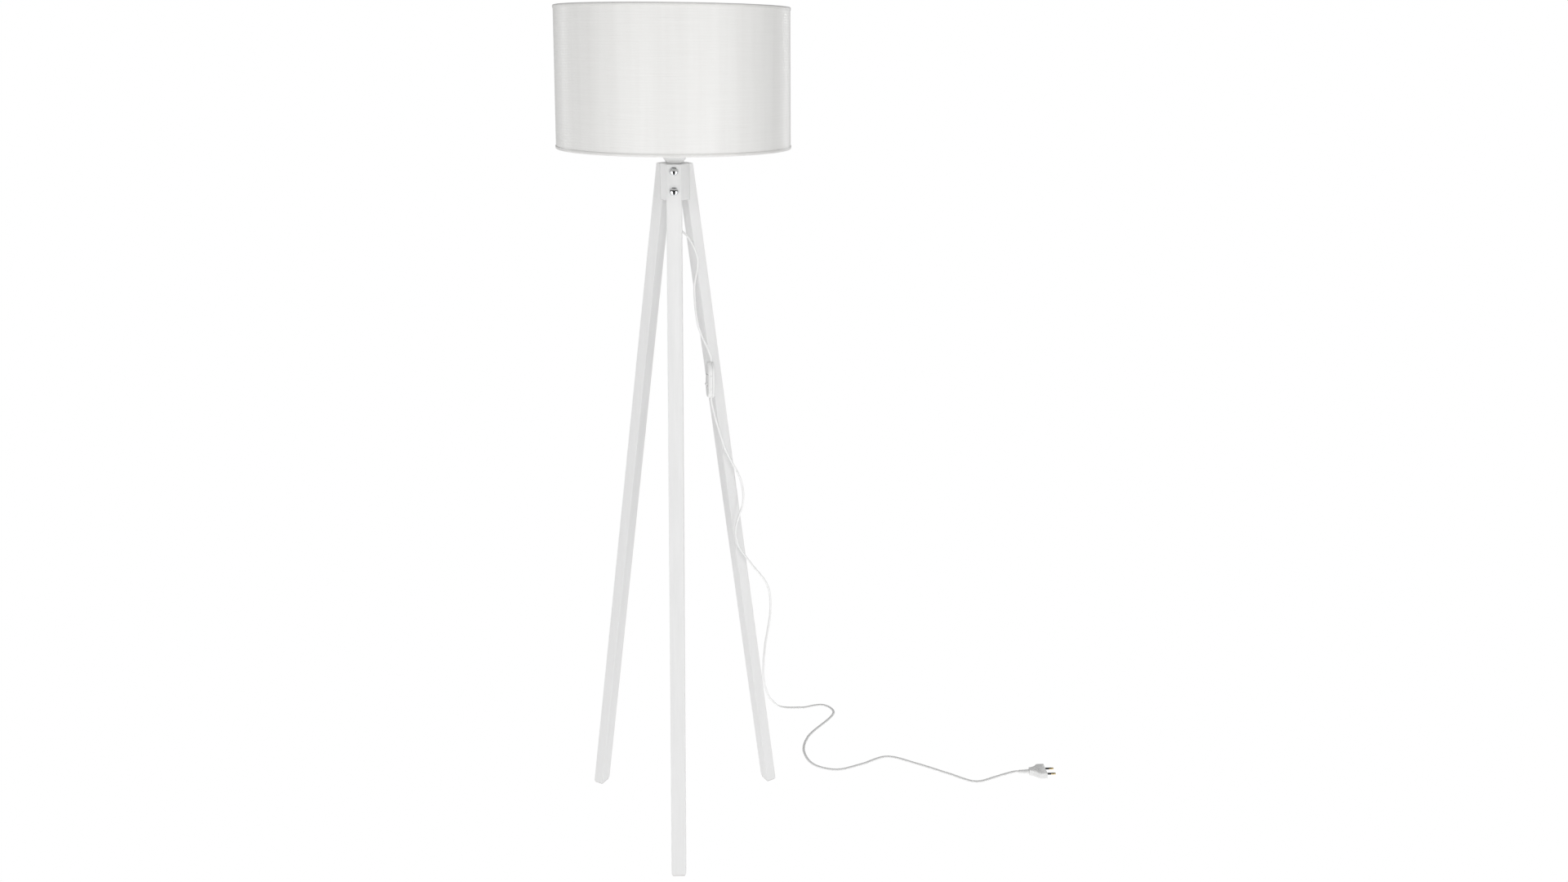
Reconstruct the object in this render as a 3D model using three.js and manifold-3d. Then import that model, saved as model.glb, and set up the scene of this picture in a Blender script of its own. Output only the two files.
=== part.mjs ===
// White tripod floor lamp: three leaning wooden legs bolted to a hub block, an E27 lampholder with its
// bulb on top, a fabric drum shade on a wire carrier, and a flat mains lead with an inline rocker switch.
// Millimetres, +Z up. The origin is on the lamp's axis at floor level and the front leg points to -Y.

import * as THREE from 'three';
import { mergeVertices } from 'three/addons/utils/BufferGeometryUtils.js';
import Module from 'manifold-3d';

const wasm = await Module();
wasm.setup();

// ---- Driving dimensions ----
const GAP = 0.3;                  // clearance between touching pieces
const SHADE_DIAMETER = 400;       // at the bottom rim
const SHADE_TOP_DIAMETER = 394;
const SHADE_BOTTOM_Z = 1288;
const SHADE_TOP_Z = 1520;
const HUB_BOTTOM_Z = 1200;
const HUB_TOP_Z = 1262;
const HUB_CORNER_RADIUS = 21.5;   // axis to the faces that carry the legs
const HUB_SIDE_RADIUS = 22;       // axis to the faces between them
const LEG_WIDTH = 26;             // across the leg, along the hub's face
const LEG_DEPTH = 20;             // away from the lamp's axis, measured level
const LEG_FOOT_RADIUS = 197;      // axis to the leg's centre line at the floor
const LEG_TOP_RADIUS = 28;        // axis to the leg's centre line at LEG_TOP_REFERENCE_Z
const LEG_TOP_REFERENCE_Z = 1200;
const PAD_THICKNESS = 2.5;
const BOLT_HEIGHTS = { upper: 1250.5, lower: 1217 };
const BOLT_SHANK_RADIUS = 3;
const BOLT_HEAD_RADIUS = 7.6;
const BOLT_HEAD_HEIGHT = 4.2;
const BOLT_INNER_END = 11.5;      // axis to the tip of a bolt
const INSERT_RADIUS = 4.7;
const CORD_BORE_RADIUS = 5.5;
const CORD_RADIUS = 2.2;
const SPIDER_Z = 1302;            // underside of the shade carrier's fitting ring
const BULB_BASE_Z = 1292;         // tip of the bulb's cap

// ---- Values that follow from them ----
const LEAN = (LEG_FOOT_RADIUS - LEG_TOP_RADIUS) / LEG_TOP_REFERENCE_Z;
const LEAN_ANGLE = Math.atan(LEAN);
const LEG_BOTTOM_Z = PAD_THICKNESS + GAP;
const legCentre = (z) => LEG_FOOT_RADIUS - LEAN * z;
const legOuter = (z) => legCentre(z) + LEG_DEPTH / 2;
const LEGS = { front: -90, right: 30, left: 150 };
const radians = THREE.MathUtils.degToRad;

// ---- Finishes ----
const finish = (color, roughness, metalness = 0) => () =>
  new THREE.MeshStandardMaterial({ color, roughness, metalness });
const whitePaint = finish(0xefefee, 0.45);
const whitePlastic = finish(0xf3f3f1, 0.35);
const fabricWhite = finish(0xebeae8, 0.75);
const felt = finish(0xdedddb, 0.95);
const chrome = finish(0xc9cacc, 0.12, 1);
const zinc = finish(0xb9bbbd, 0.4, 1);
const brass = finish(0xc2a25a, 0.35, 1);
const ceramicWhite = finish(0xf0ede6, 0.5);
const opalPlastic = finish(0xf6f4ef, 0.3);
const cordWhite = finish(0xf2f2f0, 0.5);
const coreBrown = finish(0x6b4226, 0.5);
const coreBlue = finish(0x2a5fa8, 0.5);
const sleeveBlack = finish(0x222223, 0.5);

const lamp = new THREE.Group();

function add(name, geometry, material, parent = lamp) {
  const mesh = new THREE.Mesh(geometry, material());
  mesh.name = name;
  parent.add(mesh);
  return mesh;
}

// ---- Solid helpers ----
function toSolid(geometry) {
  const plain = geometry.clone();
  plain.deleteAttribute('normal');
  plain.deleteAttribute('uv');
  const merged = mergeVertices(plain, 1e-4);
  return new wasm.Manifold(new wasm.Mesh({
    numProp: 3,
    vertProperties: new Float32Array(merged.attributes.position.array),
    triVerts: new Uint32Array(merged.index.array),
  }));
}

function toGeometry(solid) {
  const mesh = solid.getMesh();
  const geometry = new THREE.BufferGeometry();
  geometry.setAttribute('position', new THREE.BufferAttribute(new Float32Array(mesh.vertProperties), 3));
  geometry.setIndex(new THREE.BufferAttribute(new Uint32Array(mesh.triVerts), 1));
  geometry.computeVertexNormals();
  return geometry;
}

const cut = (geometry, ...tools) =>
  toGeometry(tools.reduce((solid, tool) => solid.subtract(toSolid(tool)), toSolid(geometry)));
const join = (first, ...rest) =>
  toGeometry(rest.reduce((solid, piece) => solid.add(toSolid(piece)), toSolid(first)));

// A body turned about +Z from [radius, height] pairs; a ring's outline closes on itself.
function turned(points, segments = 32) {
  const outline = points.map(([r, z]) => new THREE.Vector2(r, z));
  const geometry = new THREE.LatheGeometry(outline, segments);
  return geometry.rotateX(Math.PI / 2);
}

// A ring about +Z whose outline runs upward on the outside.
function ring(inner, outer, low, high, segments = 32) {
  return turned([[inner, low], [outer, low], [outer, high], [inner, high], [inner, low]], segments);
}

function rod(radius, low, high, segments = 16) {
  return turned([[0, low], [radius, low], [radius, high], [0, high]], segments);
}

// A block with rounded upright edges, centred on x and y.
function roundedBlock(width, depth, height, radius, steps = 3) {
  const shape = new THREE.Shape();
  const [x, y] = [width / 2 - radius, depth / 2 - radius];
  shape.absarc(x, y, radius, 0, Math.PI / 2);
  shape.absarc(-x, y, radius, Math.PI / 2, Math.PI);
  shape.absarc(-x, -y, radius, Math.PI, 1.5 * Math.PI);
  shape.absarc(x, -y, radius, 1.5 * Math.PI, 2 * Math.PI);
  shape.closePath();
  return new THREE.ExtrudeGeometry(shape, { depth: height, bevelEnabled: false, curveSegments: steps });
}

// A round tube or wire along a curve.
function tube(curve, radius, steps, sides = 8) {
  const section = new THREE.Shape();
  for (let side = 0; side < sides; side += 1) {
    const angle = (2 * Math.PI * side) / sides;
    const [x, y] = [radius * Math.cos(angle), radius * Math.sin(angle)];
    if (side === 0) section.moveTo(x, y);
    else section.lineTo(x, y);
  }
  section.closePath();
  return new THREE.ExtrudeGeometry(section, { steps, extrudePath: curve, bevelEnabled: false });
}

const route = (points) =>
  new THREE.CatmullRomCurve3(points.map(([x, y, z]) => new THREE.Vector3(x, y, z)), false, 'centripetal');

// A group whose +X points away from the lamp's axis along a leg.
function legFrame(angle) {
  const frame = new THREE.Group();
  frame.rotation.z = radians(angle);
  lamp.add(frame);
  return frame;
}

// Places a piece that lies along +Z so that it runs inward along a leg bolt, square to the leg's outer
// face: its z = 0 is on that face and +Z points out of it.
function alongBolt(geometry, boltZ) {
  return geometry
    .clone()
    .rotateY(Math.PI / 2 - LEAN_ANGLE)
    .translate(legOuter(boltZ), 0, boltZ);
}

// ---- Tripod ----
const boltLength = (boltZ) => (legOuter(boltZ) - BOLT_INNER_END) / Math.cos(LEAN_ANGLE);
const insertStart = (boltZ) => (legOuter(boltZ) - HUB_CORNER_RADIUS) / Math.cos(LEAN_ANGLE) + 1.2;

function legGeometry() {
  const height = HUB_TOP_Z - LEG_BOTTOM_Z;
  const leaning = new THREE.Matrix4().set(1, 0, -LEAN, 0, 0, 1, 0, 0, 0, 0, 1, 0, 0, 0, 0, 1);
  const blank = roundedBlock(LEG_DEPTH, LEG_WIDTH, height, 1.5, 2)
    .applyMatrix4(leaning)
    .translate(legCentre(LEG_BOTTOM_Z), 0, LEG_BOTTOM_Z);
  const notchDepth = HUB_TOP_Z - HUB_BOTTOM_Z + GAP;
  const notch = new THREE.BoxGeometry(60, 40, 2 * notchDepth)
    .translate(HUB_CORNER_RADIUS + GAP - 30, 0, HUB_TOP_Z);
  const holes = Object.values(BOLT_HEIGHTS).map((z) => alongBolt(rod(BOLT_SHANK_RADIUS + 0.4, -40, 5, 12), z));
  return cut(blank, notch, ...holes);
}

function boltGeometry(boltZ) {
  const head = BOLT_HEAD_RADIUS;
  const dome = [0, 30, 60].map(radians).map((angle) =>
    [head * Math.cos(angle), GAP + 1 + (BOLT_HEAD_HEIGHT - 1) * Math.sin(angle)]);
  return alongBolt(turned([
    [0, -boltLength(boltZ)], [BOLT_SHANK_RADIUS, -boltLength(boltZ)], [BOLT_SHANK_RADIUS, GAP], [head, GAP],
    ...dome, [0, GAP + BOLT_HEAD_HEIGHT],
  ], 14), boltZ);
}

function insertGeometry(boltZ) {
  const start = insertStart(boltZ);
  const bore = BOLT_SHANK_RADIUS + 0.25;
  return alongBolt(ring(bore, INSERT_RADIUS - GAP, -start - 8, -start, 14), boltZ);
}

function hubGeometry() {
  const corners = [];
  const sideHalf = (2 * HUB_SIDE_RADIUS - HUB_CORNER_RADIUS) * Math.tan(radians(30));
  for (const angle of Object.values(LEGS)) {
    for (const side of [-1, 1]) {
      const point = new THREE.Vector2(HUB_CORNER_RADIUS, side * sideHalf);
      corners.push(point.rotateAround(new THREE.Vector2(), radians(angle)));
    }
  }
  const block = new THREE.ExtrudeGeometry(new THREE.Shape(corners), {
    depth: HUB_TOP_Z - HUB_BOTTOM_Z - 2,
    bevelThickness: 1,
    bevelSize: 1,
    bevelOffset: -1,
    bevelSegments: 1,
  }).translate(0, 0, HUB_BOTTOM_Z + 1);
  const tools = [
    rod(CORD_BORE_RADIUS, HUB_BOTTOM_Z - 5, HUB_TOP_Z + 5, 16),
    rod(8.3, HUB_BOTTOM_Z - 5, HUB_BOTTOM_Z + 10, 16),
    rod(9, HUB_TOP_Z - 9, HUB_TOP_Z + 5, 16),
  ];
  for (const angle of Object.values(LEGS)) {
    for (const z of Object.values(BOLT_HEIGHTS)) {
      const depth = boltLength(z) + 1;
      tools.push(alongBolt(rod(INSERT_RADIUS, -depth, 5, 14), z).rotateZ(radians(angle)));
    }
  }
  return cut(block, ...tools);
}

function addTripod() {
  add('hub_block', hubGeometry(), whitePaint);
  const leg = legGeometry();
  const pad = roundedBlock(LEG_DEPTH - 3, LEG_WIDTH - 4, PAD_THICKNESS, 3)
    .translate(legCentre(LEG_BOTTOM_Z), 0, 0);
  for (const [side, angle] of Object.entries(LEGS)) {
    const frame = legFrame(angle);
    add(`leg_${side}`, leg, whitePaint, frame);
    add(`foot_pad_${side}`, pad, felt, frame);
    for (const [level, z] of Object.entries(BOLT_HEIGHTS)) {
      add(`leg_bolt_${side}_${level}`, boltGeometry(z), chrome, frame);
      add(`threaded_insert_${side}_${level}`, insertGeometry(z), zinc, frame);
    }
  }
}

// ---- Lampholder ----
function addLampholder() {
  const base = HUB_TOP_Z + GAP;
  add('threaded_nipple', ring(3.4, 4.8, HUB_TOP_Z - 8.5, base + 11, 16), zinc);
  add('nipple_nut_lower', cut(rod(8.4, HUB_TOP_Z - 8.2, HUB_TOP_Z - 4.2, 6),
    rod(5.1, HUB_TOP_Z - 12, HUB_TOP_Z, 16)), zinc);
  add('nipple_nut_upper', cut(rod(7.4, base + 3, base + 7, 6), rod(5.1, base, base + 10, 16)), zinc);
  add('lampholder_cap', turned([
    [5.2, base], [14.5, base], [16.6, base + 4], [20, base + 9], [20, base + 17], [18.2, base + 17],
    [18.2, base + 9.5], [14, base + 2.5], [5.2, base + 2.5], [5.2, base],
  ], 28), whitePlastic);
  const body = base + 17 + GAP;
  add('lampholder_body', turned([
    [17.2, body], [20.6, body], [20.6, SPIDER_Z - 3], [22.5, SPIDER_Z - 3], [22.5, SPIDER_Z - GAP],
    [19.4, SPIDER_Z - GAP], [19.4, body + 42], [17.2, body + 42], [17.2, body],
  ], 28), whitePlastic);
  add('shade_ring_nut', turned([
    [19.8, SPIDER_Z + 2.5], [28, SPIDER_Z + 2.5], [28, SPIDER_Z + 5], [25, SPIDER_Z + 7],
    [23, SPIDER_Z + 12], [19.8, SPIDER_Z + 12], [19.8, SPIDER_Z + 2.5],
  ], 28), whitePlastic);
  const screwHoles = [-10, 10].map((x) => rod(1.9, body - 5, body + 9, 12).translate(x, 0, 0));
  add('contact_carrier', cut(ring(5.5, 16.8, body + 1, body + 7, 24), ...screwHoles), ceramicWhite);
  add('screw_shell', ring(14.3, 15, body + 7.5, body + 30, 24), brass);
  const tongue = route([[0, 0, body + 3], [2.5, 0, body + 4], [3.5, 0, body + 6.5], [0, 0, body + 7.6]]);
  add('centre_contact', tube(tongue, 0.9, 6, 6), brass);
  for (const [name, side] of [['live', 1], ['neutral', -1]]) {
    const screw = join(rod(1.6, -4, 0, 12), rod(2.8, 0, 2, 12)).rotateX(Math.PI);
    add(`terminal_screw_${name}`, screw.translate(side * 10, 0, body - 1.5), brass);
  }
}

// ---- Bulb ----
function addBulb() {
  const cap = BULB_BASE_Z + 2;
  add('bulb_tip', turned([
    [0, BULB_BASE_Z], [2.5, BULB_BASE_Z], [4.5, BULB_BASE_Z + 1.7], [0, BULB_BASE_Z + 1.7],
  ], 20), zinc);
  const threads = [];
  for (let turn = 0; turn < 4; turn += 1) {
    const z = cap + 4 + turn * 3.6;
    threads.push([12.5, z], [13.2, z + 1.8]);
  }
  add('bulb_cap', turned([[0, cap], [8, cap], [12.6, cap + 3.5], ...threads, [12.5, cap + 20], [0, cap + 20]],
    20), zinc);
  const collar = cap + 20 + GAP;
  add('bulb_collar', turned([
    [11.5, collar], [13.6, collar], [15.5, collar + 9], [21, collar + 22], [27.5, collar + 34],
    [25.5, collar + 34], [19, collar + 22], [13.5, collar + 9], [11.5, collar],
  ], 20), whitePlastic);
  const globe = collar + 34 + GAP;
  const dome = (radius) => [-24, -5, 14, 33, 52, 71].map(radians).map((angle) =>
    [radius * Math.cos(angle), globe + 12.2 + radius * Math.sin(angle)]);
  add('bulb_globe', turned([
    ...dome(30), [0, globe + 42.2], [0, globe + 41], ...dome(28.8).reverse(), dome(30)[0],
  ], 24), opalPlastic);
}

// ---- Shade ----
const SHADE_SEGMENTS = 64;
const SHADE_WALL = 0.7;
const HEM_THICKNESS = 0.6;
const HEM_HEIGHT = 5;
const WIRE_RADIUS = 1.4;
const shadeOuter = (z) =>
  (SHADE_DIAMETER + ((SHADE_TOP_DIAMETER - SHADE_DIAMETER) * (z - SHADE_BOTTOM_Z)) /
    (SHADE_TOP_Z - SHADE_BOTTOM_Z)) / 2;

// The rolled edge: a skin outside the fabric that turns in under the carrier wire.
function hemGeometry(rimZ, towardsMiddle) {
  const outer = shadeOuter(rimZ);
  const outline = [
    [outer, 0], [outer, HEM_HEIGHT], [outer - HEM_THICKNESS, HEM_HEIGHT],
    [outer - HEM_THICKNESS, HEM_THICKNESS], [outer - 5, HEM_THICKNESS], [outer - 5, 0], [outer, 0],
  ].map(([r, height]) => [r, rimZ + towardsMiddle * height]);
  return turned(towardsMiddle > 0 ? outline : outline.reverse(), SHADE_SEGMENTS);
}

function wireRing(rimZ, towardsMiddle) {
  const radius = shadeOuter(rimZ) - HEM_THICKNESS - SHADE_WALL - 2 * GAP - WIRE_RADIUS;
  const height = rimZ + towardsMiddle * (HEM_THICKNESS + GAP + WIRE_RADIUS);
  return { radius, height, geometry: new THREE.TorusGeometry(radius, WIRE_RADIUS, 5, 48).translate(0, 0, height) };
}

function addShade() {
  const skin = HEM_THICKNESS + GAP;
  const [low, high] = [SHADE_BOTTOM_Z + skin, SHADE_TOP_Z - skin];
  const [lowRadius, highRadius] = [shadeOuter(low) - skin, shadeOuter(high) - skin];
  add('shade_fabric', turned([
    [lowRadius - SHADE_WALL, low], [lowRadius, low], [highRadius, high], [highRadius - SHADE_WALL, high],
    [lowRadius - SHADE_WALL, low],
  ], SHADE_SEGMENTS), fabricWhite);
  add('shade_hem_bottom', hemGeometry(SHADE_BOTTOM_Z, 1), fabricWhite);
  add('shade_hem_top', hemGeometry(SHADE_TOP_Z, -1), fabricWhite);
  add('shade_top_ring', wireRing(SHADE_TOP_Z, -1).geometry, whitePaint);

  const bottom = wireRing(SHADE_BOTTOM_Z, 1);
  const fitting = ring(20.2, 27, SPIDER_Z, SPIDER_Z + 2, 28);
  const arms = [90, 210, 330].map((angle) => {
    const run = new THREE.LineCurve3(
      new THREE.Vector3(25, 0, SPIDER_Z + 1), new THREE.Vector3(bottom.radius, 0, bottom.height));
    return tube(run, WIRE_RADIUS - 0.1, 1, 6).rotateZ(radians(angle));
  });
  add('shade_carrier', join(bottom.geometry, fitting, ...arms), whitePaint);
}

// ---- Mains lead ----
// The lead hangs from the hub, sways in front of the right leg, swings back behind it and lies on the
// floor. Each list runs from one fitting to the next.
const HUB_TO_SWITCH = [
  [0, 0, 1173.6], [0, 0, 1162], [9, -1, 1147], [23, -3, 1133], [38, -5, 1096], [32, -3, 1046],
  [38, -1, 976], [56, 5, 928], [60, 6, 915], [60, 6, 908.4],
];
const SWITCH_TO_PLUG = [
  [60, 6, 841.6], [60, 6, 834], [85, 16, 740], [113, 21, 678], [118, 24, 635], [104, 28, 580],
  [108, 30, 546], [134, 34, 503], [164, 52, 453], [172, 76, 392], [163, 122, 285], [161, 176, 196],
  [170, 250, 112], [184, 318, 50], [208, 351, 14], [254, 366, 3.4], [303, 378, 2.6], [325, 348, 2.6],
  [261, 246, 2.6], [249, 190, 2.6], [267, 140, 2.6], [312, 120, 2.6], [366, 138, 2.6], [424, 165, 2.6],
  [484, 137, 2.6], [545, 99, 2.6], [595, 70, 2.6], [640, 84, 3.4], [682, 95, 7.2], [690, 95, 7.2],
];
const GLAND_TIP_Z = 1174;
const PLUG_START = [690.3, 95, 7.2];

function addCord() {
  add('cord_gland', turned([
    [2.7, GLAND_TIP_Z], [3.6, GLAND_TIP_Z], [5.2, HUB_BOTTOM_Z - 2.5], [9.5, HUB_BOTTOM_Z - 2.5],
    [9.5, HUB_BOTTOM_Z - GAP], [7.9, HUB_BOTTOM_Z - GAP], [7.9, HUB_BOTTOM_Z + 8], [2.7, HUB_BOTTOM_Z + 8],
    [2.7, GLAND_TIP_Z],
  ], 16), whitePlastic);
  add('inner_cord', rod(CORD_RADIUS, GLAND_TIP_Z, HUB_TOP_Z + 14, 12), cordWhite);
  for (const [name, side, material] of [['live', 1, coreBrown], ['neutral', -1, coreBlue]]) {
    const top = HUB_TOP_Z + 14 + 2 * GAP;
    const core = route([
      [side * 1.2, 0, top], [side * 1.2, 0, top + 1.6], [side * 4, side * 1, top + 1.7],
      [side * 7.3, side * 1, top - 1.9],
    ]);
    add(`core_${name}`, tube(core, 0.75, 8, 6), material);
  }
  add('cord_upper', tube(route(HUB_TO_SWITCH), CORD_RADIUS, 24), cordWhite);
  add('cord_lower', tube(route(SWITCH_TO_PLUG), CORD_RADIUS, 56), cordWhite);
}

// ---- Inline rocker switch ----
// Built lying down: length along X, width along Y, and the rocker facing +Z; z = 0 is the lead's middle.
const SWITCH = { centre: [60, 6, 875], length: 66, width: 25, facing: 195 };
const ROCKER = { pivot: 4.6, halfLength: 9.5, width: 10.4, tilt: 8 };

function switchFrame() {
  const facing = radians(SWITCH.facing);
  const out = new THREE.Vector3(Math.cos(facing), Math.sin(facing), 0);
  const along = new THREE.Vector3(0, 0, 1);
  const frame = new THREE.Group();
  frame.setRotationFromMatrix(new THREE.Matrix4().makeBasis(along, out.clone().cross(along), out));
  frame.position.set(...SWITCH.centre);
  lamp.add(frame);
  return frame;
}

// Half of the switch's case: flat at z = 0, and its outline shrinks by inset towards its outer face.
function shell(height, inset) {
  const shape = new THREE.Shape();
  const [half, side] = [SWITCH.length / 2, SWITCH.width / 2];
  const shoulder = half - 19;
  shape.moveTo(-shoulder, -side);
  shape.lineTo(shoulder, -side);
  shape.bezierCurveTo(half - 8, -side, half, -5, half, -3.6);
  shape.lineTo(half, 3.6);
  shape.bezierCurveTo(half, 5, half - 8, side, shoulder, side);
  shape.lineTo(-shoulder, side);
  shape.bezierCurveTo(8 - half, side, -half, 5, -half, 3.6);
  shape.lineTo(-half, -3.6);
  shape.bezierCurveTo(-half, -5, 8 - half, -side, -shoulder, -side);
  const both = new THREE.ExtrudeGeometry(shape, {
    depth: 2 * (height - inset),
    bevelThickness: inset,
    bevelSize: inset,
    bevelOffset: -inset,
    bevelSegments: 2,
    curveSegments: 5,
  }).translate(0, 0, inset - height);
  return cut(both, new THREE.BoxGeometry(100, 60, 40).translate(0, 0, -20));
}

function rockerGeometry() {
  const { pivot, halfLength, width } = ROCKER;
  const outline = new THREE.Shape();
  outline.moveTo(-halfLength, pivot + 4.9);
  outline.lineTo(-halfLength + 0.6, pivot - 1.4);
  outline.absarc(0, pivot - 0.2, 3.2, Math.PI * 1.12, Math.PI * 1.88, false);
  outline.lineTo(halfLength - 0.6, pivot - 1.4);
  outline.lineTo(halfLength, pivot + 4.9);
  outline.quadraticCurveTo(0, pivot + 2.6, -halfLength, pivot + 4.9);
  const body = new THREE.ExtrudeGeometry(outline, { depth: width, bevelEnabled: false, curveSegments: 8 })
    .translate(0, 0, -width / 2)
    .rotateX(Math.PI / 2);
  const hole = rod(1.15, -width, width, 16).rotateX(Math.PI / 2).translate(0, 0, pivot);
  return cut(body, hole)
    .translate(0, 0, -pivot)
    .rotateY(radians(ROCKER.tilt))
    .translate(0, 0, pivot);
}

function addSwitch() {
  const frame = switchFrame();
  const room = new THREE.BoxGeometry(34, 19, 3.4);
  const screwHoles = (radius, low, high) =>
    [-24, 24].map((x) => rod(radius, low, high, 12).translate(x, 0, 0));
  const base = shell(4.2, 1.4).rotateX(Math.PI);
  add('switch_base', cut(base, room.clone().translate(0, 0, -0.9), ...screwHoles(1.5, -6, 2),
    ...screwHoles(2.7, -6, -2.3)), whitePlastic, frame);
  const cover = shell(7.1, 2.2).translate(0, 0, GAP);
  const rockerWindow = new THREE.BoxGeometry(2 * ROCKER.halfLength + 3, ROCKER.width + 1, 20);
  const pinSeat = rod(1.05, -7, 7, 16).rotateX(Math.PI / 2).translate(0, 0, ROCKER.pivot);
  add('switch_cover', cut(cover, room.clone().translate(0, 0, 1.9 + GAP), rockerWindow, pinSeat,
    ...screwHoles(1.35, -1, 4.4)), whitePlastic, frame);
  add('switch_rocker', rockerGeometry(), whitePlastic, frame);
  add('rocker_pin', rod(1, -6.8, 6.8, 16).rotateX(Math.PI / 2).translate(0, 0, ROCKER.pivot), zinc, frame);
  for (const [index, x] of [-24, 24].entries()) {
    const screw = join(rod(2.4, -3.9, -2.6, 14), rod(1.1, -2.7, 3.6, 12));
    add(`switch_screw_${index + 1}`, screw.translate(x, 0, 0), zinc, frame);
  }
  add('switch_contact_fixed', new THREE.BoxGeometry(9, 5, 0.7).translate(-9, 4, -1.9), brass, frame);
  add('switch_contact_spring', new THREE.BoxGeometry(16, 4, 0.5).translate(4, -4, -1.2), brass, frame);
}

// ---- Flat two-pin plug ----
// Its length runs along X from the lead's end, and it lies flat on the floor.
const PLUG = { reliefLength: 20, bodyLength: 35, width: 35.3, thickness: 13.6, pinSpacing: 18.6, pinLength: 19 };

function addPlug() {
  const frame = new THREE.Group();
  frame.position.set(...PLUG_START);
  lamp.add(frame);
  const alongX = (geometry) => geometry.rotateY(Math.PI / 2);
  add('plug_strain_relief', alongX(turned([
    [0, 0], [3.2, 0], [4.6, PLUG.reliefLength], [0, PLUG.reliefLength],
  ], 20)), whitePlastic, frame);
  const start = PLUG.reliefLength + GAP;
  const half = PLUG.width / 2;
  const outline = new THREE.Shape();
  outline.moveTo(start, -5.5);
  outline.lineTo(start + 4, -6.5);
  outline.quadraticCurveTo(start + 12, -8.5, start + 18, -half + 1);
  outline.quadraticCurveTo(start + 19, -half, start + 21, -half);
  outline.lineTo(start + PLUG.bodyLength, -half);
  outline.lineTo(start + PLUG.bodyLength, half);
  outline.lineTo(start + 21, half);
  outline.quadraticCurveTo(start + 19, half, start + 18, half - 1);
  outline.quadraticCurveTo(start + 12, 8.5, start + 4, 6.5);
  outline.lineTo(start, 5.5);
  outline.closePath();
  const bevel = 2;
  const body = new THREE.ExtrudeGeometry(outline, {
    depth: PLUG.thickness - 2 * bevel,
    bevelThickness: bevel,
    bevelSize: bevel,
    bevelOffset: -bevel,
    bevelSegments: 2,
    curveSegments: 5,
  }).translate(0, 0, -PLUG.thickness / 2 + bevel);
  const face = start + PLUG.bodyLength;
  const pinHoles = [-1, 1].map((side) =>
    alongX(rod(2.05, face - 12, face + 5, 16)).translate(0, (side * PLUG.pinSpacing) / 2, 0));
  add('plug_body', cut(body, ...pinHoles), whitePlastic, frame);
  for (const [index, side] of [-1, 1].entries()) {
    const y = (side * PLUG.pinSpacing) / 2;
    const pin = turned([
      [0, face - 11.5], [1.5, face - 11.5], [1.5, face + 9.5], [1.95, face + 10],
      [1.95, face + PLUG.pinLength - 1.2], [1, face + PLUG.pinLength], [0, face + PLUG.pinLength],
    ], 16);
    add(`plug_pin_${index + 1}`, alongX(pin).translate(0, y, 0), brass, frame);
    const sleeve = ring(1.75, 1.95, face - 11, face + 9.3, 16);
    add(`plug_pin_sleeve_${index + 1}`, alongX(sleeve).translate(0, y, 0), sleeveBlack, frame);
  }
}

addTripod();
addLampholder();
addBulb();
addShade();
addCord();
addSwitch();
addPlug();

export default lamp;
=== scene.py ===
"""White tripod floor lamp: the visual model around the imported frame. Metres, +Z up, front leg to -Y."""

import math

import bmesh
import bpy
import numpy as np
from mathutils import Matrix, Vector


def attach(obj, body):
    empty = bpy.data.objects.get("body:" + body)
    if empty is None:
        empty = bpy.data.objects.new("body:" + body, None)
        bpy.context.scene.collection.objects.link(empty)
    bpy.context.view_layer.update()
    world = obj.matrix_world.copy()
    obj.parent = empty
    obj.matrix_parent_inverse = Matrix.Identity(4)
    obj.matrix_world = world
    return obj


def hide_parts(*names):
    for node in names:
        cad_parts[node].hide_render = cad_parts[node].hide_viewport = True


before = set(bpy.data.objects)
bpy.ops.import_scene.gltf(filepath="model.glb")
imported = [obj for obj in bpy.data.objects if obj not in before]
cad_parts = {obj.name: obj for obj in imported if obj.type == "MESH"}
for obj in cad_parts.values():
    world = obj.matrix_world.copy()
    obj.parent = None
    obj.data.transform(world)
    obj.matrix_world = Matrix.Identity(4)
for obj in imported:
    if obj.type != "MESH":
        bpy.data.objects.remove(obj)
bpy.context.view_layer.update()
MM = 0.001

# ---- Driving dimensions, in millimetres, the same as the CAD's ----
GAP = 0.3
SHADE_BOTTOM_Z = 1288
SHADE_TOP_Z = 1520
SHADE_BOTTOM_RADIUS = 200
SHADE_TOP_RADIUS = 197
HUB_BOTTOM_Z = 1200
HUB_TOP_Z = 1262
HUB_CORNER_RADIUS = 21.5
HUB_SIDE_RADIUS = 22
LEG_WIDTH = 26
LEG_DEPTH = 20
LEG_FOOT_RADIUS = 197
LEG_TOP_RADIUS = 28
LEG_TOP_REFERENCE_Z = 1200
LEG_BOTTOM_Z = 2.8
BOLT_HEIGHTS = {"upper": 1250.5, "lower": 1217}
BOLT_SHANK_RADIUS = 3
BOLT_HEAD_RADIUS = 7.6
BOLT_HEAD_HEIGHT = 4.2
BOLT_INNER_END = 11.5
INSERT_RADIUS = 4.7
SPIDER_Z = 1302
BULB_BASE_Z = 1292
GLAND_TIP_Z = 1174
LEGS = {"front": -90, "right": 30, "left": 150}

LEAN = (LEG_FOOT_RADIUS - LEG_TOP_RADIUS) / LEG_TOP_REFERENCE_Z
LEAN_ANGLE = math.atan(LEAN)


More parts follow.
